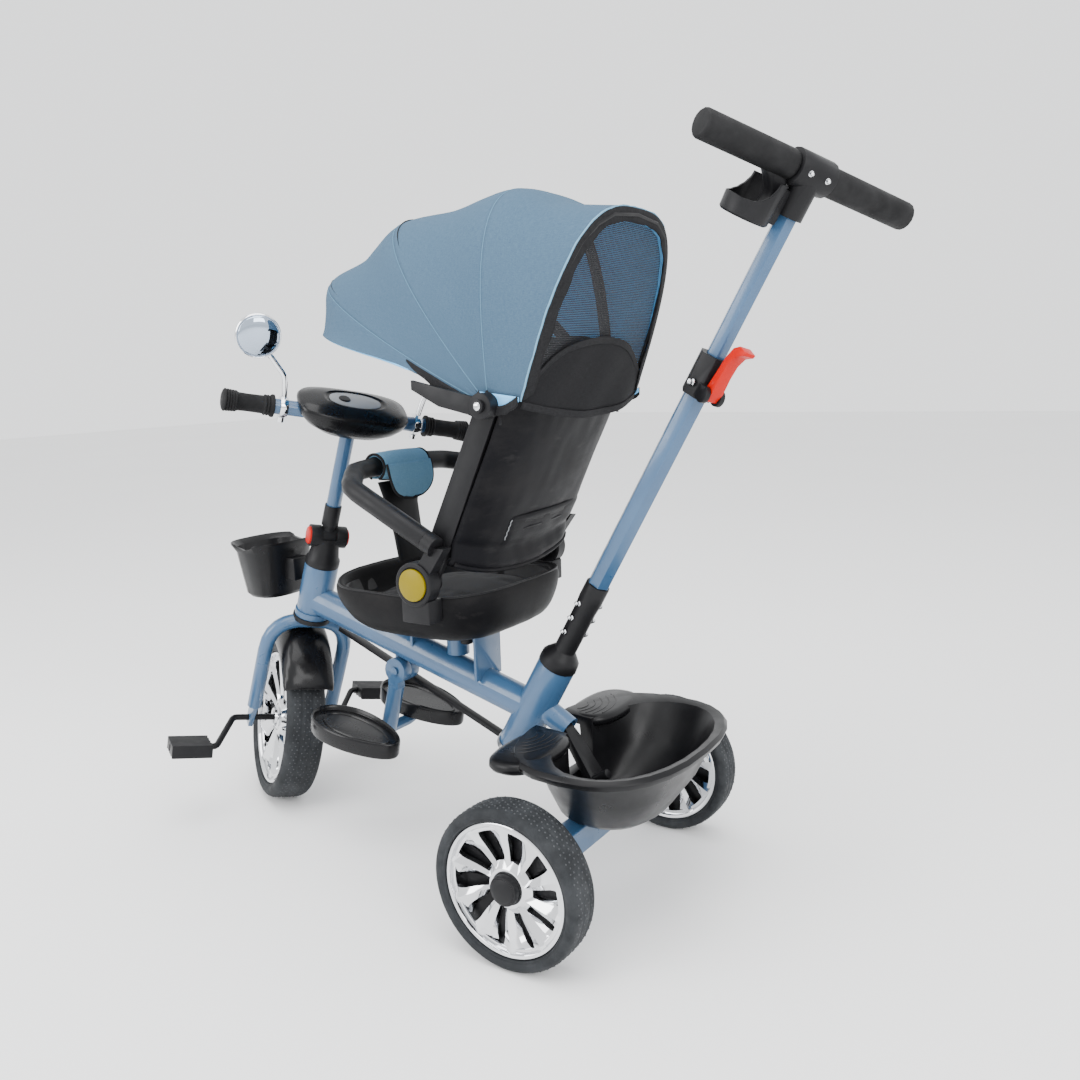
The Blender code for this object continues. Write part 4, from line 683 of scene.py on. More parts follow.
def hems(front, rear):
    """Black webbing along the front bow's legs and round the hinges, and the rear edge's binding."""
    lean = radians(FRONT_BOW[0])
    down = Vector((0, -cos(lean), -sin(lean)))
    for side, sign in SIDES:
        leg = [p for p in (front if sign > 0 else front[::-1]) if p.length < 0.2 and p.x * sign > 0]

        def leg_edges(i, point):
            wave = 0.001 * sin(i * 1.7)
            base = point + Vector((sign, 0, 0)) * (0.0022 + wave * 0.4) + down * 0.002
            width = 0.003 + 0.015 * min(1.0, (len(leg) - 1 - i) / 7)
            return base, base + down * (width + wave)

        belongs(ribbon("canopy_hem_" + side, leg, leg_edges, WEBBING, AT_CANOPY, 0.0016), "bow_front")
        corner = rear[0] if sign > 0 else rear[-1]
        sweep = []
        for k in range(15):
            share = k / 14
            sag = -0.012 * sin(pi * share) - 0.004 * share * (1 - share)
            y = -0.014 + (corner.y + 0.016) * share
            sweep.append(Vector((sign * 0.1492, y, 0.008 + sag - 0.004 * share)))

        def sweep_edges(i, point):
            return point + UP * 0.0065, point - UP * (0.0045 + 0.0008 * sin(i * 2.1))

        hem = ribbon("canopy_hinge_hem_" + side, sweep, sweep_edges, WEBBING, AT_CANOPY, 0.0014)
        belongs(hem, "backrest")

        def corner_point(lift, share):
            point = sweep[round(14 * share)]
            top = Vector((sign * 0.1466, point.y, 0.0165 - 0.13 * (point.y + 0.014)))
            return Vector((sign * 0.147, point.y, point.z)).lerp(top, lift)

        rows = surface(6, 14, corner_point)
        patch = grid("canopy_corner_" + side, rows, (CANOPY_CLOTH, CANOPY_INSIDE), AT_CANOPY)
        belongs(thicken(patch, 0.0012, 0.0, inside=1), "backrest")
    frayed = []
    for i, point in enumerate(rear):
        wobble = Vector((ripple((i * 1.9, 0, 3)), ripple((i * 2.3, 7, 0)), ripple((0, i * 1.7, 5)))) * 0.0012
        frayed.append(point + wobble)
    belongs(tube("canopy_rear_binding", frayed, 0.0013, PAD_CLOTH, place=AT_CANOPY), "backrest")


def window(rear):
    """The net that closes the canopy's rear opening, its black border, and the cloth panel under it."""
    rise = REAR_RISE.normalized()
    facing = Vector((0, rise.z, -rise.y))

    def in_plane(x, up):
        return Vector((x, 0, 0)) + REAR_LOW + rise * up

    inner = []
    for point in rear:
        up = (point - REAR_LOW).dot(rise)
        pull = (Vector((0, 0.1)) - Vector((point.x, up))).normalized()
        pull *= 0.0165 + 0.002 * ripple((point.x * 60, up * 60, 2))
        inner.append(in_plane(point.x + pull.x, max(up + pull.y, 0.0)))

    def border_edges(i, point):
        return point + facing * 0.001, inner[i] + facing * (0.005 + 0.0008 * sin(i * 0.9))

    belongs(ribbon("canopy_window_border", rear, border_edges, WEBBING, AT_CANOPY, 0.0014, 3), "backrest")
    half = COLUMNS // 2

    def net_point(share, along):
        i = round(along * half)
        return inner[i].lerp(inner[COLUMNS - i], share)

    rows = surface(9, half, net_point)
    sheet = grid("canopy_window", rows, WINDOW_NET, AT_CANOPY)
    belongs(sheet, "backrest")

    def panel_point(share, across):
        u = -1 + 2 * across
        top = 0.016 + 0.058 * (1 - abs(u) ** 2.6)
        bottom = -0.02 + 0.016 * abs(u) ** 2
        slack = facing * (0.006 * (1 - u * u) + 0.0012 * sin(9 * u + 5 * share))
        sink = Vector((0, 0.0115, 0)) * (1 - share) * (1 - abs(u) ** 4)
        return in_plane(u * 0.1385, bottom + (top - bottom) * share) + slack + sink

    rows = surface(10, 40, panel_point)
    panel = thicken(grid("canopy_back_panel", rows, PANEL_CLOTH, AT_CANOPY), 0.0012, 0.0)
    belongs(panel, "backrest")

    def trim_edges(i, point):
        return point + facing * 0.0012 - rise * 0.0045, point + facing * 0.0012 + rise * 0.0045

    for name, row in (("top", rows[-1]), ("bottom", rows[0])):
        belongs(ribbon("canopy_panel_hem_" + name, row, trim_edges, WEBBING, AT_CANOPY, 0.001), "backrest")


# ---------------------------------------------------------------- wheels
TYRE_SECTION = (        # from the tread's middle to the bead: share of the half width, share of the depth
    (0.0, 1.0), (0.1, 0.999), (0.2, 0.995), (0.24, 0.972), (0.3, 0.97), (0.34, 0.988), (0.44, 0.98),
    (0.52, 0.972), (0.6, 0.96), (0.7, 0.935), (0.78, 0.895), (0.86, 0.83), (0.92, 0.74), (0.96, 0.64),
    (0.985, 0.52), (0.98, 0.4), (0.95, 0.29), (0.9, 0.22), (0.885, 0.15), (0.9, 0.08), (0.86, 0.02))
SPOKE_SECTION = (       # share of the spoke's width, drop below its crest
    (-0.5, 0.0085), (-0.49, 0.002), (-0.3, 0.0004), (-0.16, -0.0012), (0.1, 0.0012), (0.34, 0.004),
    (0.5, 0.0085), (0.52, 0.012))
TREAD_ROWS = ((-0.64, 0.952), (-0.5, 0.974), (-0.4, 0.984), (-0.14, 0.999), (0.0, 1.0),
              (0.14, 0.999), (0.4, 0.984), (0.5, 0.974), (0.64, 0.952))
SPOKES = 10
STUD_PITCH = 0.0118
REAR_WHEEL = (0.1, 0.05, 0.083, 0.0185)     # tyre radius, tyre width, rim radius, hub radius
FRONT_WHEEL = (0.13, 0.062, 0.108, 0.021)
HUB_CAP_HEIGHT = 0.0195


def tyre(name, radius, width, inner, place, body, node):
    depth = radius - inner
    right = [(inner + depth * rise, width / 2 * across) for across, rise in TYRE_SECTION]
    profile = right[::-1] + [(r, -h) for r, h in right[1:]]
    profile += [(inner + 0.0004, -width * 0.36), (inner + 0.0004, width * 0.36), profile[0]]
    tread = lathe(name + "_body", profile, TYRE, None, steps=128, angle=50)
    made = merged(name, [tread, tread_dots(name + "_dots", radius, width, inner)])
    made.data.transform(place)
    belongs(made, body, node)


def tread_dots(name, radius, width, inner):
    """Rows of small studs round the tread."""
    count = round(2 * pi * radius / STUD_PITCH)
    points = []
    faces = []
    for row, (across, rise) in enumerate(TREAD_ROWS):
        for k in range(count):
            turn = 2 * pi * (k + 0.5 * (row % 2)) / count
            out = Vector((cos(turn), sin(turn), 0))
            along = Vector((-sin(turn), cos(turn), 0))
            base = out * (inner + (radius - inner) * rise - 0.0002) + UP * (width / 2 * across)
            first = len(points)
            for lift, reach in ((0.0, 0.0013), (0.0008, 0.0008)):
                for i in range(6):
                    corner = along * cos(pi * i / 3) + UP * sin(pi * i / 3)
                    points.append(base + out * lift + corner * reach)
            for i in range(6):
                j = (i + 1) % 6
                faces.append((first + i, first + j, first + 6 + j, first + 6 + i))
            faces.append(tuple(first + 6 + i for i in range(6)))
    mesh = bpy.data.meshes.new(name)
    mesh.from_pydata(points, [], faces)
    soften(mesh, 60)
    return new_object(name, mesh, TYRE_DOTS)


def blade(radius, hub, half, turn, face):
    """A spoke: a bright plate, widest at the rim, with a sharp crest and one side folded in."""
    rows = []
    for k in range(11):
        share = k / 10
        reach = hub * 0.95 + (radius - hub * 0.95) * share
        wide = 2 * pi / SPOKES * (0.5 + 0.1 * share + 0.34 * max(0.0, (share - 0.72) / 0.28) ** 1.5)
        high = face * half * (0.5 + 0.36 * share ** 1.3)
        row = []
        for t, drop in SPOKE_SECTION:
            angle = turn + 0.16 * share + wide * t
            row.append(Vector((reach * cos(angle), reach * sin(angle), high - face * drop)))
        rows.append(row)
    return rows


def both_faces(side):
    """A closed profile from the half of it on one face of the wheel."""
    return side + [(r, -h) for r, h in reversed(side)] + side[:1]


def rim(name, radius, width, hub, place, body, node):
    """A bright rim: its lips and flanges, its hub with two cones, a black web, and spokes on both faces."""
    half = width * 0.4
    lip = radius - 0.0052
    bore = 0.0062

    def turned(profile, finish=RIM_CHROME, steps=96, angle=30):
        return lathe(name + "_part", profile, finish, None, steps, angle)

    parts = [turned(both_faces([(radius, half), (radius - 0.0022, half + 0.0006), (lip, half - 0.0004),
                                (lip - 0.0012, half - 0.003), (lip - 0.004, half * 0.35)]))]
    for face in (half, -half):
        flange = [(radius - 0.004, face * 0.86), (radius * 0.865, face * 0.8), (radius * 0.86, face * 0.72),
                  (radius - 0.004, face * 0.74)]
        parts.append(turned(flange + flange[:1]))
    drum = [(hub * r, half * h) for r, h in ((0.7, 0.96), (0.74, 0.8), (0.98, 0.72), (1.0, 0.6), (0.93, 0.3),
                                             (0.93, -0.3), (1.0, -0.6), (0.98, -0.72), (0.7, -0.96))]
    parts.append(turned([(bore, half * 0.96)] + drum + [(bore, -half * 0.96), (bore, half * 0.96)], steps=48))
    for face in (half, -half):
        cone = [(hub * r, face * h) for r, h in ((0.95, 0.74), (1.3, 0.66), (1.75, 0.34),
                                                 (1.8, 0.16), (0.95, 0.16), (0.95, 0.74))]
        parts.append(turned(cone, steps=40, angle=20))
    parts.append(turned(both_faces([(hub * 0.9, 0.0016), (lip - 0.0038, 0.0016)]), BLACK, 64))
    for face in (1, -1):
        for k in range(SPOKES):
            rows = blade(radius - 0.0028, hub, half, 2 * pi * k / SPOKES, face)
            spoke = thicken(grid(name + "_spoke", rows, RIM_CHROME, angle=12), 0.0012, 0.0)
            spoke.data = evaluated(spoke)
            spoke.modifiers.clear()
            parts.append(spoke)
    made = merged(name, parts)
    made.data.transform(place)
    belongs(made, body, node)


def hub_cap(name, radius, height, place, body):
    """The black cap over the wheel's nut."""
    profile = [(0.0, height + 0.003), (radius * 0.6, height + 0.0028), (radius * 0.82, height + 0.0018),
               (radius * 0.86, height + 0.0024), (radius * 0.96, height + 0.0018), (radius, height),
               (radius, height - 0.01), (0.0, height - 0.01)]
    belongs(lathe(name, profile, BLACK, place, steps=56), body)


def wheels():
    radius, width, inner, hub = REAR_WHEEL
    for side, sign in SIDES:
        body = "rear_wheel_" + side
        place = to_side(pivot(body + "_spin"), sign)
        tyre("tyre_" + side, radius, width, inner, place, body, "rear_tyre_" + side)
        rim("rim_" + side, inner, width, hub, place, body, "rear_rim_" + side)
        hub_cap("hub_cap_" + side, hub, HUB_CAP_HEIGHT, place, body)
    radius, width, inner, hub = FRONT_WHEEL
    place = basis(pivot("front_wheel_spin"), STEER_AXIS.cross(SIDE_AXIS), SIDE_AXIS)
    tyre("tyre_front", radius, width, inner, place, "front_wheel", "front_tyre")
    rim("rim_front", inner, width, hub, place, "front_wheel", "front_rim")


# ---------------------------------------------------------------- seat
PAD_LEVELS = [          # half x, half y, height
    (0.088, 0.074, 0.0215), (0.104, 0.088, 0.026), (0.11, 0.094, 0.036), (0.108, 0.092, 0.046),
    (0.098, 0.083, 0.0525), (0.07, 0.058, 0.0552), (0.03, 0.024, 0.056)]
SKIN_LEVELS = [         # half width, front y, rear y, height, share of the raised ends
    (0.07, -0.068, 0.078, 0.0022, 0.0), (0.104, -0.094, 0.098, 0.006, 0.0),
    (0.121, -0.114, 0.11, 0.018, 0.05), (0.1325, -0.13, 0.1175, 0.038, 0.2),
    (0.1372, -0.1385, 0.121, 0.056, 0.7), (0.1365, -0.138, 0.12, 0.066, 1.0),
    (0.132, -0.133, 0.116, 0.0695, 1.0), (0.127, -0.128, 0.111, 0.066, 1.0),
    (0.1235, -0.124, 0.107, 0.054, 0.7), (0.118, -0.115, 0.101, 0.036, 0.2),
    (0.102, -0.095, 0.09, 0.024, 0.0), (0.07, -0.065, 0.065, 0.0222, 0.0)]
SKIN_EDGE_ROW = 22      # the highest of the skin's rows, where the piping runs


def puffed(obj, pressure, frames, size=0.006):
    """Inflates a closed piece as cloth, so that it fills out between its seams."""
    remesh = obj.modifiers.new("even", "REMESH")
    remesh.mode = "VOXEL"
    remesh.voxel_size = size
    obj.data = evaluated(obj)
    obj.modifiers.clear()
    cloth = obj.modifiers.new("cloth", "CLOTH")
    cloth.settings.use_pressure = True
    cloth.settings.uniform_pressure_force = pressure
    cloth.settings.effector_weights.gravity = 0
    cloth.settings.tension_stiffness = 40
    cloth.settings.compression_stiffness = 40
    cloth.settings.bending_stiffness = 4
    cloth.point_cache.frame_start = 1
    cloth.point_cache.frame_end = frames
    for k in range(1, frames + 1):
        scene.frame_set(k)
    obj.data = evaluated(obj)
    obj.modifiers.clear()
    scene.frame_set(1)
    soften(obj.data, 80)


def seat_goods():
    """The cushion, the cloth skin over the seat's shell, and the piping round its edge."""
    rows = []
    for half_x, half_y, z in fitted(PAD_LEVELS, 3):
        ring = oval_ring(half_x, half_y, z, 3.0, 72, -0.002)
        for point in ring:
            if z > 0.045:
                point.z -= 0.0028 * ramp_down(abs(point.x) - 0.052, 0.006)
                point.z -= 0.0022 * ramp_down(point.y + 0.03, 0.006) * (abs(point.x) < 0.052)
        rows.append(ring)
    pad = capped(grid("seat_cushion", rows, SEAT_CLOTH, closed=True))
    puffed(pad, 2.0, 12)
    pad.data.transform(SEAT)
    pad.data.materials.clear()
    pad.data.materials.append(SEAT_CLOTH)
    belongs(pad, "seat", "seat_pad")
    rows = []
    for half, front, rear, z, lift in fitted(SKIN_LEVELS, 4):
        ring = oval_ring(half + 0.0012, (rear - front) / 2 + 0.0006, z, 3.7, 96, (front + rear) / 2)
        for point in ring:
            point.z += 0.003 * lift * max(0.0, (point.y - 0.02) / 0.1) ** 2
            point.z += 0.0005 * ripple((point.x * 40, point.y * 40, z * 60))
            point.z += 0.01 * lift * max(0.0, -(point.y + 0.09) / 0.05) ** 2
        rows.append(ring)
    belongs(grid("seat_skin", rows, SEAT_LEATHER, SEAT, closed=True), "seat")
    trim = [point + Vector((point.x, point.y, 0)).normalized() * 0.0006 for point in rows[SKIN_EDGE_ROW]]
    belongs(tube("seat_piping", trim, 0.0013, BLACK, closed=True, place=SEAT), "seat")
    boss_rings()


def boss_rings():
    """The stepped ring round each yellow button."""
    ring = [(0.0214, 0.1555), (0.0216, 0.159), (0.0228, 0.1598), (0.0262, 0.1596), (0.028, 0.1584),
            (0.0284, 0.156), (0.0284, 0.14), (0.025, 0.139), (0.0214, 0.1555)]
    for side, sign in SIDES:
        belongs(lathe("boss_ring_" + side, ring, BLACK, to_side(BOSS, sign), steps=72), "seat")


# ---------------------------------------------------------------- backrest
BACK_DEPTH = 0.0278     # of the cover, behind the backrest's front plane
BACK_COLUMNS = 48


def back_surface(u, lift, depth):
    """A point on the backrest, u across from -1 to 1, lift up it, depth behind its front plane."""
    return Vector((u * 0.1335, depth + 0.014 * (1 - u * u), lift))


def back_lift(u, share, inset=0.0):
    """The height of a share of the way from the backrest's lower edge to its upper edge."""
    low = 0.022 + 0.016 * u * u + inset
    top = 0.338 - 0.026 * u * u - 0.01 * abs(u) ** 8 - inset
    return low + (top - low) * share


def backrest():
    """The cover behind, with a roll over its lower edge and a flat pocket, then what goes round it."""
    def cover_point(share, across):
        u = -1 + 2 * across
        depth = BACK_DEPTH - 0.0085 * abs(u) ** 10
        depth -= 0.016 * max(0.0, (share - 0.9) / 0.1) ** 3
        depth += 0.0075 * ramp_down(share - 0.035, 0.055) * (1 - 0.4 * abs(u) ** 4)
        depth -= 0.003 * ramp_down(share - 0.115, 0.03)
        depth += 0.0016 * ripple((u * 2.2, share * 3.1, 1.5)) + 0.0007 * ripple((u * 7, share * 9, 4.0))
        if -0.92 < u < 0.4 and 0.1 < share < 0.235:
            depth += 0.0014
        return back_surface(u, back_lift(u, share), depth)

    rows = surface(60, BACK_COLUMNS, cover_point)
    cover = thicken(grid("back_cover", rows, BACK_LEATHER, BACK), 0.0022)
    belongs(cover, "backrest", "backrest_cover")
    back_trim()
    back_sides()
    back_front()


def back_trim():
    """The pocket's two hems, its stitched tack, and the cover's lower edge."""
    def on_back(u, share, proud):
        return back_surface(u, back_lift(u, share), BACK_DEPTH - 0.0085 * abs(u) ** 10 + proud)

    def edges(i, point):
        return point - UP * width, point + UP * width

    for name, share, width in (("pocket_hem", 0.235, 0.0065), ("pocket_line", 0.185, 0.0016)):
        line = [on_back(0.42 - 1.39 * k / 30, share + 0.012 * sin(k / 8), 0.0024) for k in range(31)]
        belongs(ribbon(name, line, edges, BACK_LEATHER, BACK, 0.001, 2), "backrest")
    tack = [on_back(0.42 + 0.012 * (k % 2), 0.245 - 0.012 * k, 0.0036) for k in range(9)]
    belongs(tube("pocket_tack", tack, 0.0007, LIGHT_GREY, sides=1, place=BACK), "backrest")
    lip = [on_back(-0.98 + 1.96 * k / 40, 0.012, 0.007) for k in range(41)]
    belongs(tube("back_lip", lip, 0.0034, BACK_LEATHER, sides=3, place=BACK), "backrest")


def back_sides():
    """The moulded channel on each side, from the recline's boss up to the canopy's hinge."""
    inner = 0.129
    outer = 0.1372
    for side, sign in SIDES:
        rows = []
        for k in range(25):
            share = k / 24
            front = -0.0155 + 0.001 * sin(pi * share)
            rear = 0.0185 - 0.004 * share
            if share < 0.12:
                rear = 0.011 + (rear - 0.011) * share / 0.12
            ring = [(inner, front + 0.001), (outer - 0.002, front), (outer, front + 0.0025),
                    (outer + 0.0004, (front + rear) / 2), (outer, rear - 0.002), (outer - 0.0015, rear),
                    (inner, rear)]
            rows.append([Vector((sign * x, y, -0.012 + 0.306 * share)) for x, y in ring])
        belongs(capped(grid("back_channel_" + side, rows, BLACK, BACK, closed=True, angle=35)), "backrest")
        bracket(side, sign)


def bracket(side, sign):
    """The canopy's hinge: a round plate with a rivet, and two ties below it."""
    place = basis(CANOPY, Vector((0, -1, 0)), Vector((sign, 0, 0)))
    plate = [(0.0, 0.164), (0.013, 0.164), (0.015, 0.1632), (0.0152, 0.156), (0.0152, 0.145), (0.0, 0.145)]
    belongs(lathe("canopy_boss_" + side, plate, BLACK, place, steps=56), "backrest")
    rivet = [(0.0, 0.1712), (0.003, 0.1708), (0.0048, 0.1694), (0.0052, 0.1684), (0.0066, 0.1682),
             (0.0068, 0.1672), (0.0, 0.1672)]
    belongs(lathe("canopy_rivet_" + side, rivet, CHROME, place, steps=40), "backrest")
    for k, (lift, y) in enumerate(((0.262, 0.004), (0.25, 0.01))):
        start = BACK @ Vector((sign * 0.1405, y + 0.012, lift))
        end = BACK @ Vector((sign * 0.141, y + 0.02, lift - 0.016))
        middle = start.lerp(end, 0.5) + Vector((sign * 0.001, 0, 0))
        belongs(tube(f"canopy_tie_{side}_{k}", [start, middle, end], 0.0018, WEBBING), "backrest")


def back_front():
    """The padded front of the backrest: a cushion with sewn channels."""
    def cushion_point(share, across):
        u = (-1 + 2 * across) * 0.965
        crown = (1 - abs(u) ** 6) * (1 - abs(2 * share - 1) ** 8)
        dent = 0.0045 * ramp_down(abs(u) - 0.52, 0.05)
        if abs(u) < 0.52:
            dent += sum(0.0035 * ramp_down(share - level, 0.02) for level in (0.3, 0.55, 0.78))
        return back_surface(u, back_lift(u, share, 0.004), -0.01 - 0.0065 * crown + dent)

    cushion = thicken(grid("back_cushion", surface(34, BACK_COLUMNS, cushion_point), SEAT_CLOTH, BACK), 0.012)
    belongs(cushion, "backrest")


# ---------------------------------------------------------------- bumper
def bumper():
    """The pad's cloth wrap with its piping, and its tongue, which hangs on the child's side of the bar."""
    bar_low, bar_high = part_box("bumper_bar")
    bar_radius = 0.0135
    at = Matrix.Translation((0, bar_low.y + bar_radius, bar_high.z - bar_radius))

    def wrap_point(share, round_bar):
        x = -0.049 + 0.098 * share
        turn = radians(-68 + 316 * round_bar)
        reach = 0.0192 + 0.0014 * sin(pi * share) - 0.0015 * abs(2 * share - 1) ** 10
        reach += 0.0004 * ripple((x * 60, round_bar * 10.8, 2))
        return Vector((x, reach * cos(turn), reach * sin(turn)))

    rows = surface(20, 36, wrap_point)
    wrap = thicken(grid("bumper_wrap", rows, (PAD_CLOTH, WEBBING), at), 0.0034)
    belongs(wrap, "bumper", "bumper_pad")
    for name, row in (("left", rows[-1]), ("right", rows[0])):
        belongs(tube("bumper_piping_" + name, row, 0.0019, WEBBING, sides=3, place=at), "bumper")
    belongs(tube("bumper_piping_edge", [row[0] for row in rows], 0.0015, WEBBING, place=at), "bumper")

    def flap_point(share, across):
        u = -1 + 2 * across
        half = 0.0465 * (1 - max(0.0, (share - 0.25) / 0.75) ** 2.4) ** 0.5 + 0.0004
        y = 0.0188 + 0.005 * sin(pi * share * 0.8) + 0.001 * ripple((u * 2, share * 3, 1))
        return Vector((u * half, y + 0.002 * u * u, 0.004 - 0.052 * share))

    rows = surface(16, 24, flap_point)
    flap = thicken(grid("bumper_flap", rows, (PAD_CLOTH, WEBBING), at), 0.003, 0.0, inside=1)
    belongs(flap, "bumper")
    edge = [row[0] for row in rows] + rows[-1][1:-1] + [row[-1] for row in rows[::-1]]
    belongs(tube("bumper_flap_piping", edge, 0.0019, WEBBING, place=at), "bumper")


# ---------------------------------------------------------------- hard parts
LOOKS = {
    "black_plastic": BLACK, "black_gloss": BLACK_SHINY, "black_steel": BLACK_METAL,
    "painted_blue": BLUE_PAINT, "red_plastic": RED, "yellow_plastic": YELLOW, "chrome": CHROME,
    "zinc_steel": STEEL, "mirror_chrome": CHROME, "tyre_rubber": TYRE, "grip_rubber": GRIP,
    "canopy_fabric": CANOPY_CLOTH, "black_leatherette": BACK_LEATHER, "seat_cloth": SEAT_CLOTH,
}
SPECIAL = {"rear_basket": BASKET_BLACK, "front_basket": BASKET_BLACK, "push_grip_left": FOAM,
           "push_grip_right": FOAM, "mirror_left": GLASS, "mirror_right": GLASS}
SUBDIVIDED = ("front_fender", "music_box")
ROUNDING = {"mirror_left": 0.0, "mirror_right": 0.0, "handle_shaft": 0.0, "rear_axle": 0.0006,
            "crank_axle": 0.0006, "seat_shell": 0.0, "rear_basket": 0.0008, "front_basket": 0.0008}
USUAL_ROUNDING = 0.0007
CREASE = radians(38)


def dress(node, finish, width):
    """Gives a CAD node its finish, smooth shading and small rounded edges."""
    obj = frame["nodes"][node]
    mesh = obj.data
    mesh.materials.clear()
    mesh.materials.append(finish)
    if "custom_normal" in mesh.attributes:
        mesh.attributes.remove(mesh.attributes["custom_normal"])
    mesh.shade_smooth()
    obj.modifiers.new("weld", "WELD").merge_threshold = 1e-5
    if node.startswith("mirror_stalk"):
        grow = obj.modifiers.new("wall", "DISPLACE")
        grow.strength = 0.0009
        grow.mid_level = 0.0
    if node in SUBDIVIDED:
        smooth = obj.modifiers.new("smooth", "SUBSURF")
        smooth.levels = 2
        smooth.render_levels = 2
        return
    if width:
        edge = obj.modifiers.new("edges", "BEVEL")
        edge.width = width
        edge.segments = 2
        edge.limit_method = "ANGLE"
        edge.angle_limit = CREASE
    split = obj.modifiers.new("creases", "EDGE_SPLIT")
    split.split_angle = CREASE
    split.use_edge_sharp = False


def hard_parts():
    for entry in frame["record"]["subparts"]:
        node = entry["node"]
        dress(node, SPECIAL.get(node, LOOKS[entry["material_slot"]]), ROUNDING.get(node, USUAL_ROUNDING))


def grips():
    """The handlebar's rubber grips: close rings, a thicker end and a flange at the inner side."""
    start = 0.113
    end = 0.1845
    radius = 0.0126
    flange = 0.0162
    profile = [(0.0, end), (radius * 0.8, end), (radius * 1.08, end - 0.0012)]
    for k in range(5):
        z = end - 0.003 - 0.0036 * k
        crest = radius * (1.26 - 0.02 * k)
        profile += [(crest, z), (crest, z - 0.0018), (radius * 1.12, z - 0.0024)]
    profile += [(radius * 1.02, end - 0.0225), (radius * 0.99, (start + end) / 2),
                (radius * 1.02, start + 0.015)]
    for k in range(2):
        z = start + 0.0135 - 0.004 * k
        profile += [(radius * 1.16, z), (radius * 1.16, z - 0.0016), (radius * 1.04, z - 0.0024)]
    profile += [(flange, start + 0.0036), (flange, start + 0.0006), (flange * 0.9, start), (0.0, start)]
    for side, sign in SIDES:
        place = STEM @ to_side(UP * BAR_HEIGHT, sign)
        made = lathe("handlebar_grip_" + side, profile, GRIP, place, steps=48, angle=45)
        belongs(made, "handlebar", "grip_" + side)


def music_box():
    """The boat-shaped case on the bar, tilted to the rider, with the plate and button on its deck."""
    to_bar = Matrix.Translation(UP * BAR_HEIGHT)
    tilted = STEM @ to_bar @ Matrix.Rotation(-radians(13), 4, "X") @ to_bar.inverted()
    case = levels_of("music_case", [
        (0.034, 0.026, 0.1725, 2.6), (0.05, 0.034, 0.176, 2.8), (0.068, 0.0405, 0.186, 3.0),
        (0.078, 0.043, 0.196, 3.2), (0.0812, 0.0442, 0.206, 3.4), (0.0812, 0.0442, 0.2095, 3.4),
        (0.079, 0.042, 0.2135, 3.2), (0.064, 0.034, 0.218, 2.8), (0.048, 0.0262, 0.2208, 2.4),
        (0.045, 0.0243, 0.2212, 2.4), (0.043, 0.023, 0.2196, 2.4), (0.041, 0.0215, 0.2192, 2.4),
    ], BLACK_SHINY, tilted)
    belongs(case, "handlebar", "music_box")
    plate = [(0.0385, 0.02, 0.219, 2.2), (0.0385, 0.02, 0.2202, 2.2), (0.037, 0.0185, 0.2208, 2.2)]
    belongs(levels_of("music_plate", plate, LIGHT_GREY, tilted, 48), "handlebar")
    button = [(0.0, 0.2228), (0.007, 0.2226), (0.0085, 0.2216), (0.0088, 0.2205), (0.0, 0.2205)]
    place = tilted @ Matrix.Translation((0.016, 0.0, 0.0))
    belongs(lathe("music_button", button, BLACK, place, steps=40), "handlebar")


def mirror_faces():
    """A domed glass and a bright ring on each mirror."""
    dome = [(0.0285 * sin(radians(9 * k)), 0.0085 * cos(radians(9 * k)) - 0.0005) for k in range(11)]
    ring = [(0.028, -0.001), (0.0282, 0.0012), (0.0296, 0.002), (0.0308, 0.001), (0.0312, -0.001),
            (0.028, -0.001)]
    for side, sign in SIDES:
        body = "mirror_" + side
        depth = max((STEM.inverted() @ vertex.co).y for vertex in frame["nodes"][body].data.vertices)
        place = STEM @ basis(Vector((sign * 0.15, depth, 0.291)), Vector((1, 0, 0)), Vector((0, 1, 0)))
        belongs(lathe("mirror_glass_" + side, dome, GLASS, place, angle=60), body)
        belongs(lathe("mirror_ring_" + side, ring, CHROME, place, angle=60), body)


def footrest_pads():
    """Each pad: a deep skirt, a raised rim, a sunk floor with a raised oval."""
    for side, sign in SIDES:
        low, high = (Vector(corner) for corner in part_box("footrest_pad_" + side))
        place = Matrix.Translation((low + high) / 2) @ Matrix.Rotation(-radians(11), 4, "X")
        rows = []
        for scale, z in ((0.86, -0.0135), (0.97, -0.0125), (1.0, -0.0095), (1.0, 0.007), (0.985, 0.01),
                         (0.955, 0.011), (0.925, 0.01), (0.905, 0.0055), (0.89, 0.004), (0.64, 0.004),
                         (0.615, 0.0056), (0.585, 0.0056), (0.56, 0.004), (0.1, 0.004)):
            ring = []
            for k in range(72):
                turn = 2 * pi * k / 72
                half = 0.0425 - 0.0085 * sin(turn)
                y = 0.078 * sin(turn) * (0.4 + 0.6 * scale)
                ring.append(Vector((half * scale * cos(turn) * sign, y, z)))
            rows.append(ring if sign > 0 else ring[::-1])
        pad = capped(grid("foot_pad_" + side, rows, BLACK_SHINY, place, closed=True, angle=40))
        belongs(pad, "footrest", "footrest_pad_" + side)


def cup_web():
    """The moulded arm that carries the cup ring under the grip."""
    right = 0.0215
    rows = []
    for k in range(13):
        share = k / 12
        left = 0.058 - 0.02 * sin(pi * min(1.0, share * 1.15)) - 0.004 * share
        ring = oval_ring((left - right) / 2, 0.012 - 0.003 * share, 0.664 + 0.06 * share, 4.0, 40, -0.004)
        rows.append([point + Vector(((left + right) / 2, 0, 0)) for point in ring])
    belongs(capped(grid("cup_arm", rows, BLACK, HANDLE, closed=True, angle=45)), "upper_handle")


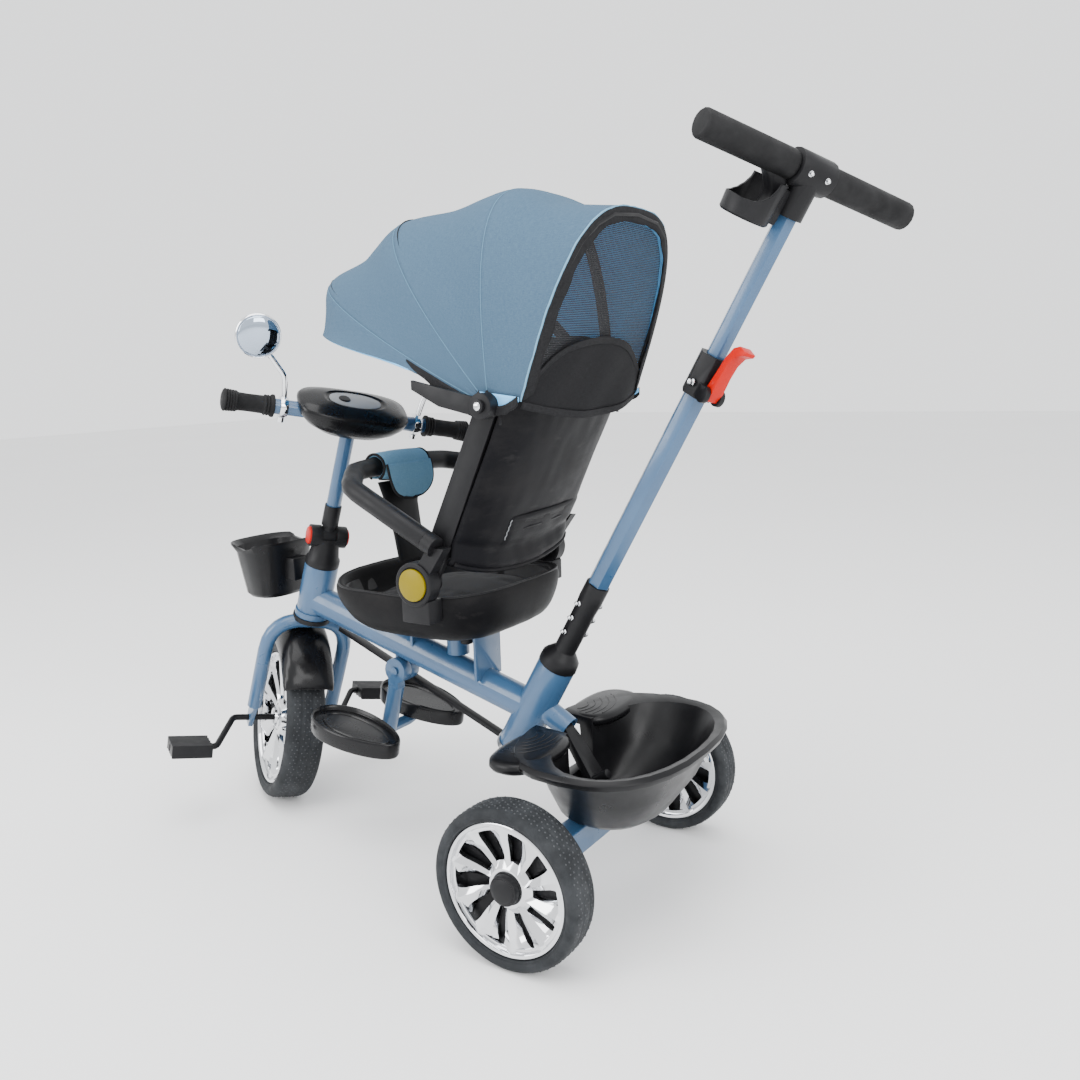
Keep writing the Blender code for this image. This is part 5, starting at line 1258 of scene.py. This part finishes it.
def basket_steps():
    """The broad steps at the basket's front corners, with raised arcs."""
    levels = [(0.056, 0.029, 0.206, 2.6), (0.062, 0.035, 0.208, 2.6), (0.065, 0.0375, 0.212, 2.6),
              (0.0645, 0.037, 0.218, 2.6), (0.061, 0.0335, 0.2215, 2.6), (0.054, 0.027, 0.2228, 2.6)]
    for side, sign in SIDES:
        at = Matrix.Translation((sign * 0.096, 0.1422, -0.0015))
        belongs(levels_of("basket_step_" + side, levels, BASKET_BLACK, at, 72, 60), "frame")
        for k in range(5):
            reach = 0.01 + 0.0085 * k
            line = []
            for i in range(25):
                turn = radians(20 + 140 * i / 24)
                x = sign * (reach * 1.5 * cos(turn) - 0.03)
                y = -0.022 + reach * sin(turn)
                if (abs(x) / 0.06) ** 2.6 + (abs(y) / 0.031) ** 2.6 < 0.8:
                    line.append(Vector((x, y, 0.2228)))
            if len(line) > 3:
                arc = tube(f"basket_arc_{side}_{k}", line, 0.0008, BASKET_BLACK, sides=1, place=at)
                belongs(arc, "frame")


def dome_nut(name, place, radius, body):
    """A hexagon with a domed cap, seated at the place's origin and pointing along its Z axis."""
    def raised(share):
        return Matrix.Translation(UP * radius * share)

    shape = bmesh.new()
    bmesh.ops.create_cone(shape, cap_ends=True, segments=6, radius1=radius, radius2=radius * 0.96,
                          depth=radius * 0.9, matrix=raised(0.45))
    bmesh.ops.create_uvsphere(shape, u_segments=24, v_segments=12, radius=radius * 0.8, matrix=raised(0.95))
    bmesh.ops.create_cone(shape, cap_ends=True, segments=28, radius1=radius * 1.25, radius2=radius * 1.22,
                          depth=radius * 0.22, matrix=raised(0.05))
    mesh = bpy.data.meshes.new(name)
    shape.to_mesh(mesh)
    shape.free()
    soften(mesh, 35)
    belongs(new_object(name, mesh, CHROME, place), body)


def fasteners():
    """Domed nuts on the pole's socket, the clamp and the tee, and the ring under the steering head."""
    along_x = Vector((1, 0, 0))
    along_y = Vector((0, 1, 0))
    for k, z in enumerate((0.112, 0.135, 0.158)):
        for side, sign in SIDES:
            place = HANDLE @ basis(Vector((sign * 0.0158, 0.002, z)), along_y, along_x * sign)
            dome_nut(f"socket_nut_{k}_{side}", place, 0.0034, "push_handle")
    place = HANDLE @ basis(Vector((0.0178, 0.006, 0.48)), along_y, along_x)
    dome_nut("clamp_nut", place, 0.004, "push_handle")
    for k, x in enumerate((-0.012, 0.012)):
        place = HANDLE @ basis(Vector((x, 0.019, 0.7307)), along_x, along_y)
        dome_nut(f"tee_bolt_{k}", place, 0.0026, "upper_handle")
    ring = [(0.0268, 0.004), (0.029, 0.0035), (0.0295, 0.0), (0.029, -0.0035), (0.0268, -0.004),
            (0.0268, 0.004)]
    belongs(lathe("fork_gasket", ring, BLACK, STEERING @ Matrix.Translation((0, 0, 0.002))), "steering")


# ---------------------------------------------------------------- floor, light and camera
def floor():
    mesh = bpy.data.meshes.new("floor")
    size = 12.0
    corners = [(-size, -size, 0), (size, -size, 0), (size, size, 0), (-size, size, 0)]
    mesh.from_pydata(corners, [], [(0, 1, 2, 3)])
    look = Look("pale_floor", 0.9)
    look.wear(Base_Color=look.mix(look.noise(look.where(), 0.8, 2), (0.86, 0.86, 0.86), (0.9, 0.9, 0.9)))
    new_object("floor", mesh, look.material)


def lamp(name, place, width, height, power):
    """A soft box aimed at the middle of the object."""
    data = bpy.data.lights.new(name, "AREA")
    data.shape = "RECTANGLE"
    data.size = width
    data.size_y = height
    data.energy = power
    obj = bpy.data.objects.new(name, data)
    obj.location = place
    obj.rotation_euler = (Vector((0, 0, 0.4)) - Vector(place)).to_track_quat("-Z", "Y").to_euler()
    scene.collection.objects.link(obj)


def lights():
    world = bpy.data.worlds.new("studio")
    world.use_nodes = True
    background = world.node_tree.nodes["Background"]
    background.inputs["Color"].default_value = (0.98, 0.99, 1.0, 1)
    background.inputs["Strength"].default_value = 1.75
    scene.world = world
    lamp("top_box", (0.6, 0.4, 2.9), 2.4, 2.4, 75)
    lamp("front_left_box", (2.6, -1.6, 1.7), 1.6, 2.0, 75)
    lamp("rear_left_box", (1.4, 2.8, 1.9), 1.8, 1.6, 60)


def camera():
    data = bpy.data.cameras.new("camera")
    data.sensor_width = 36
    data.lens = 33.26
    obj = bpy.data.objects.new("camera", data)
    obj.location = (1.0865, 0.8137, 0.6913)
    obj.rotation_euler = [radians(turn) for turn in (80.1856, 1.828, 122.8176)]
    scene.collection.objects.link(obj)
    scene.camera = obj


hard_parts()
canopy()
wheels()
seat_goods()
backrest()
bumper()
grips()
music_box()
mirror_faces()
footrest_pads()
cup_web()
basket_steps()
fasteners()
floor()
lights()
camera()
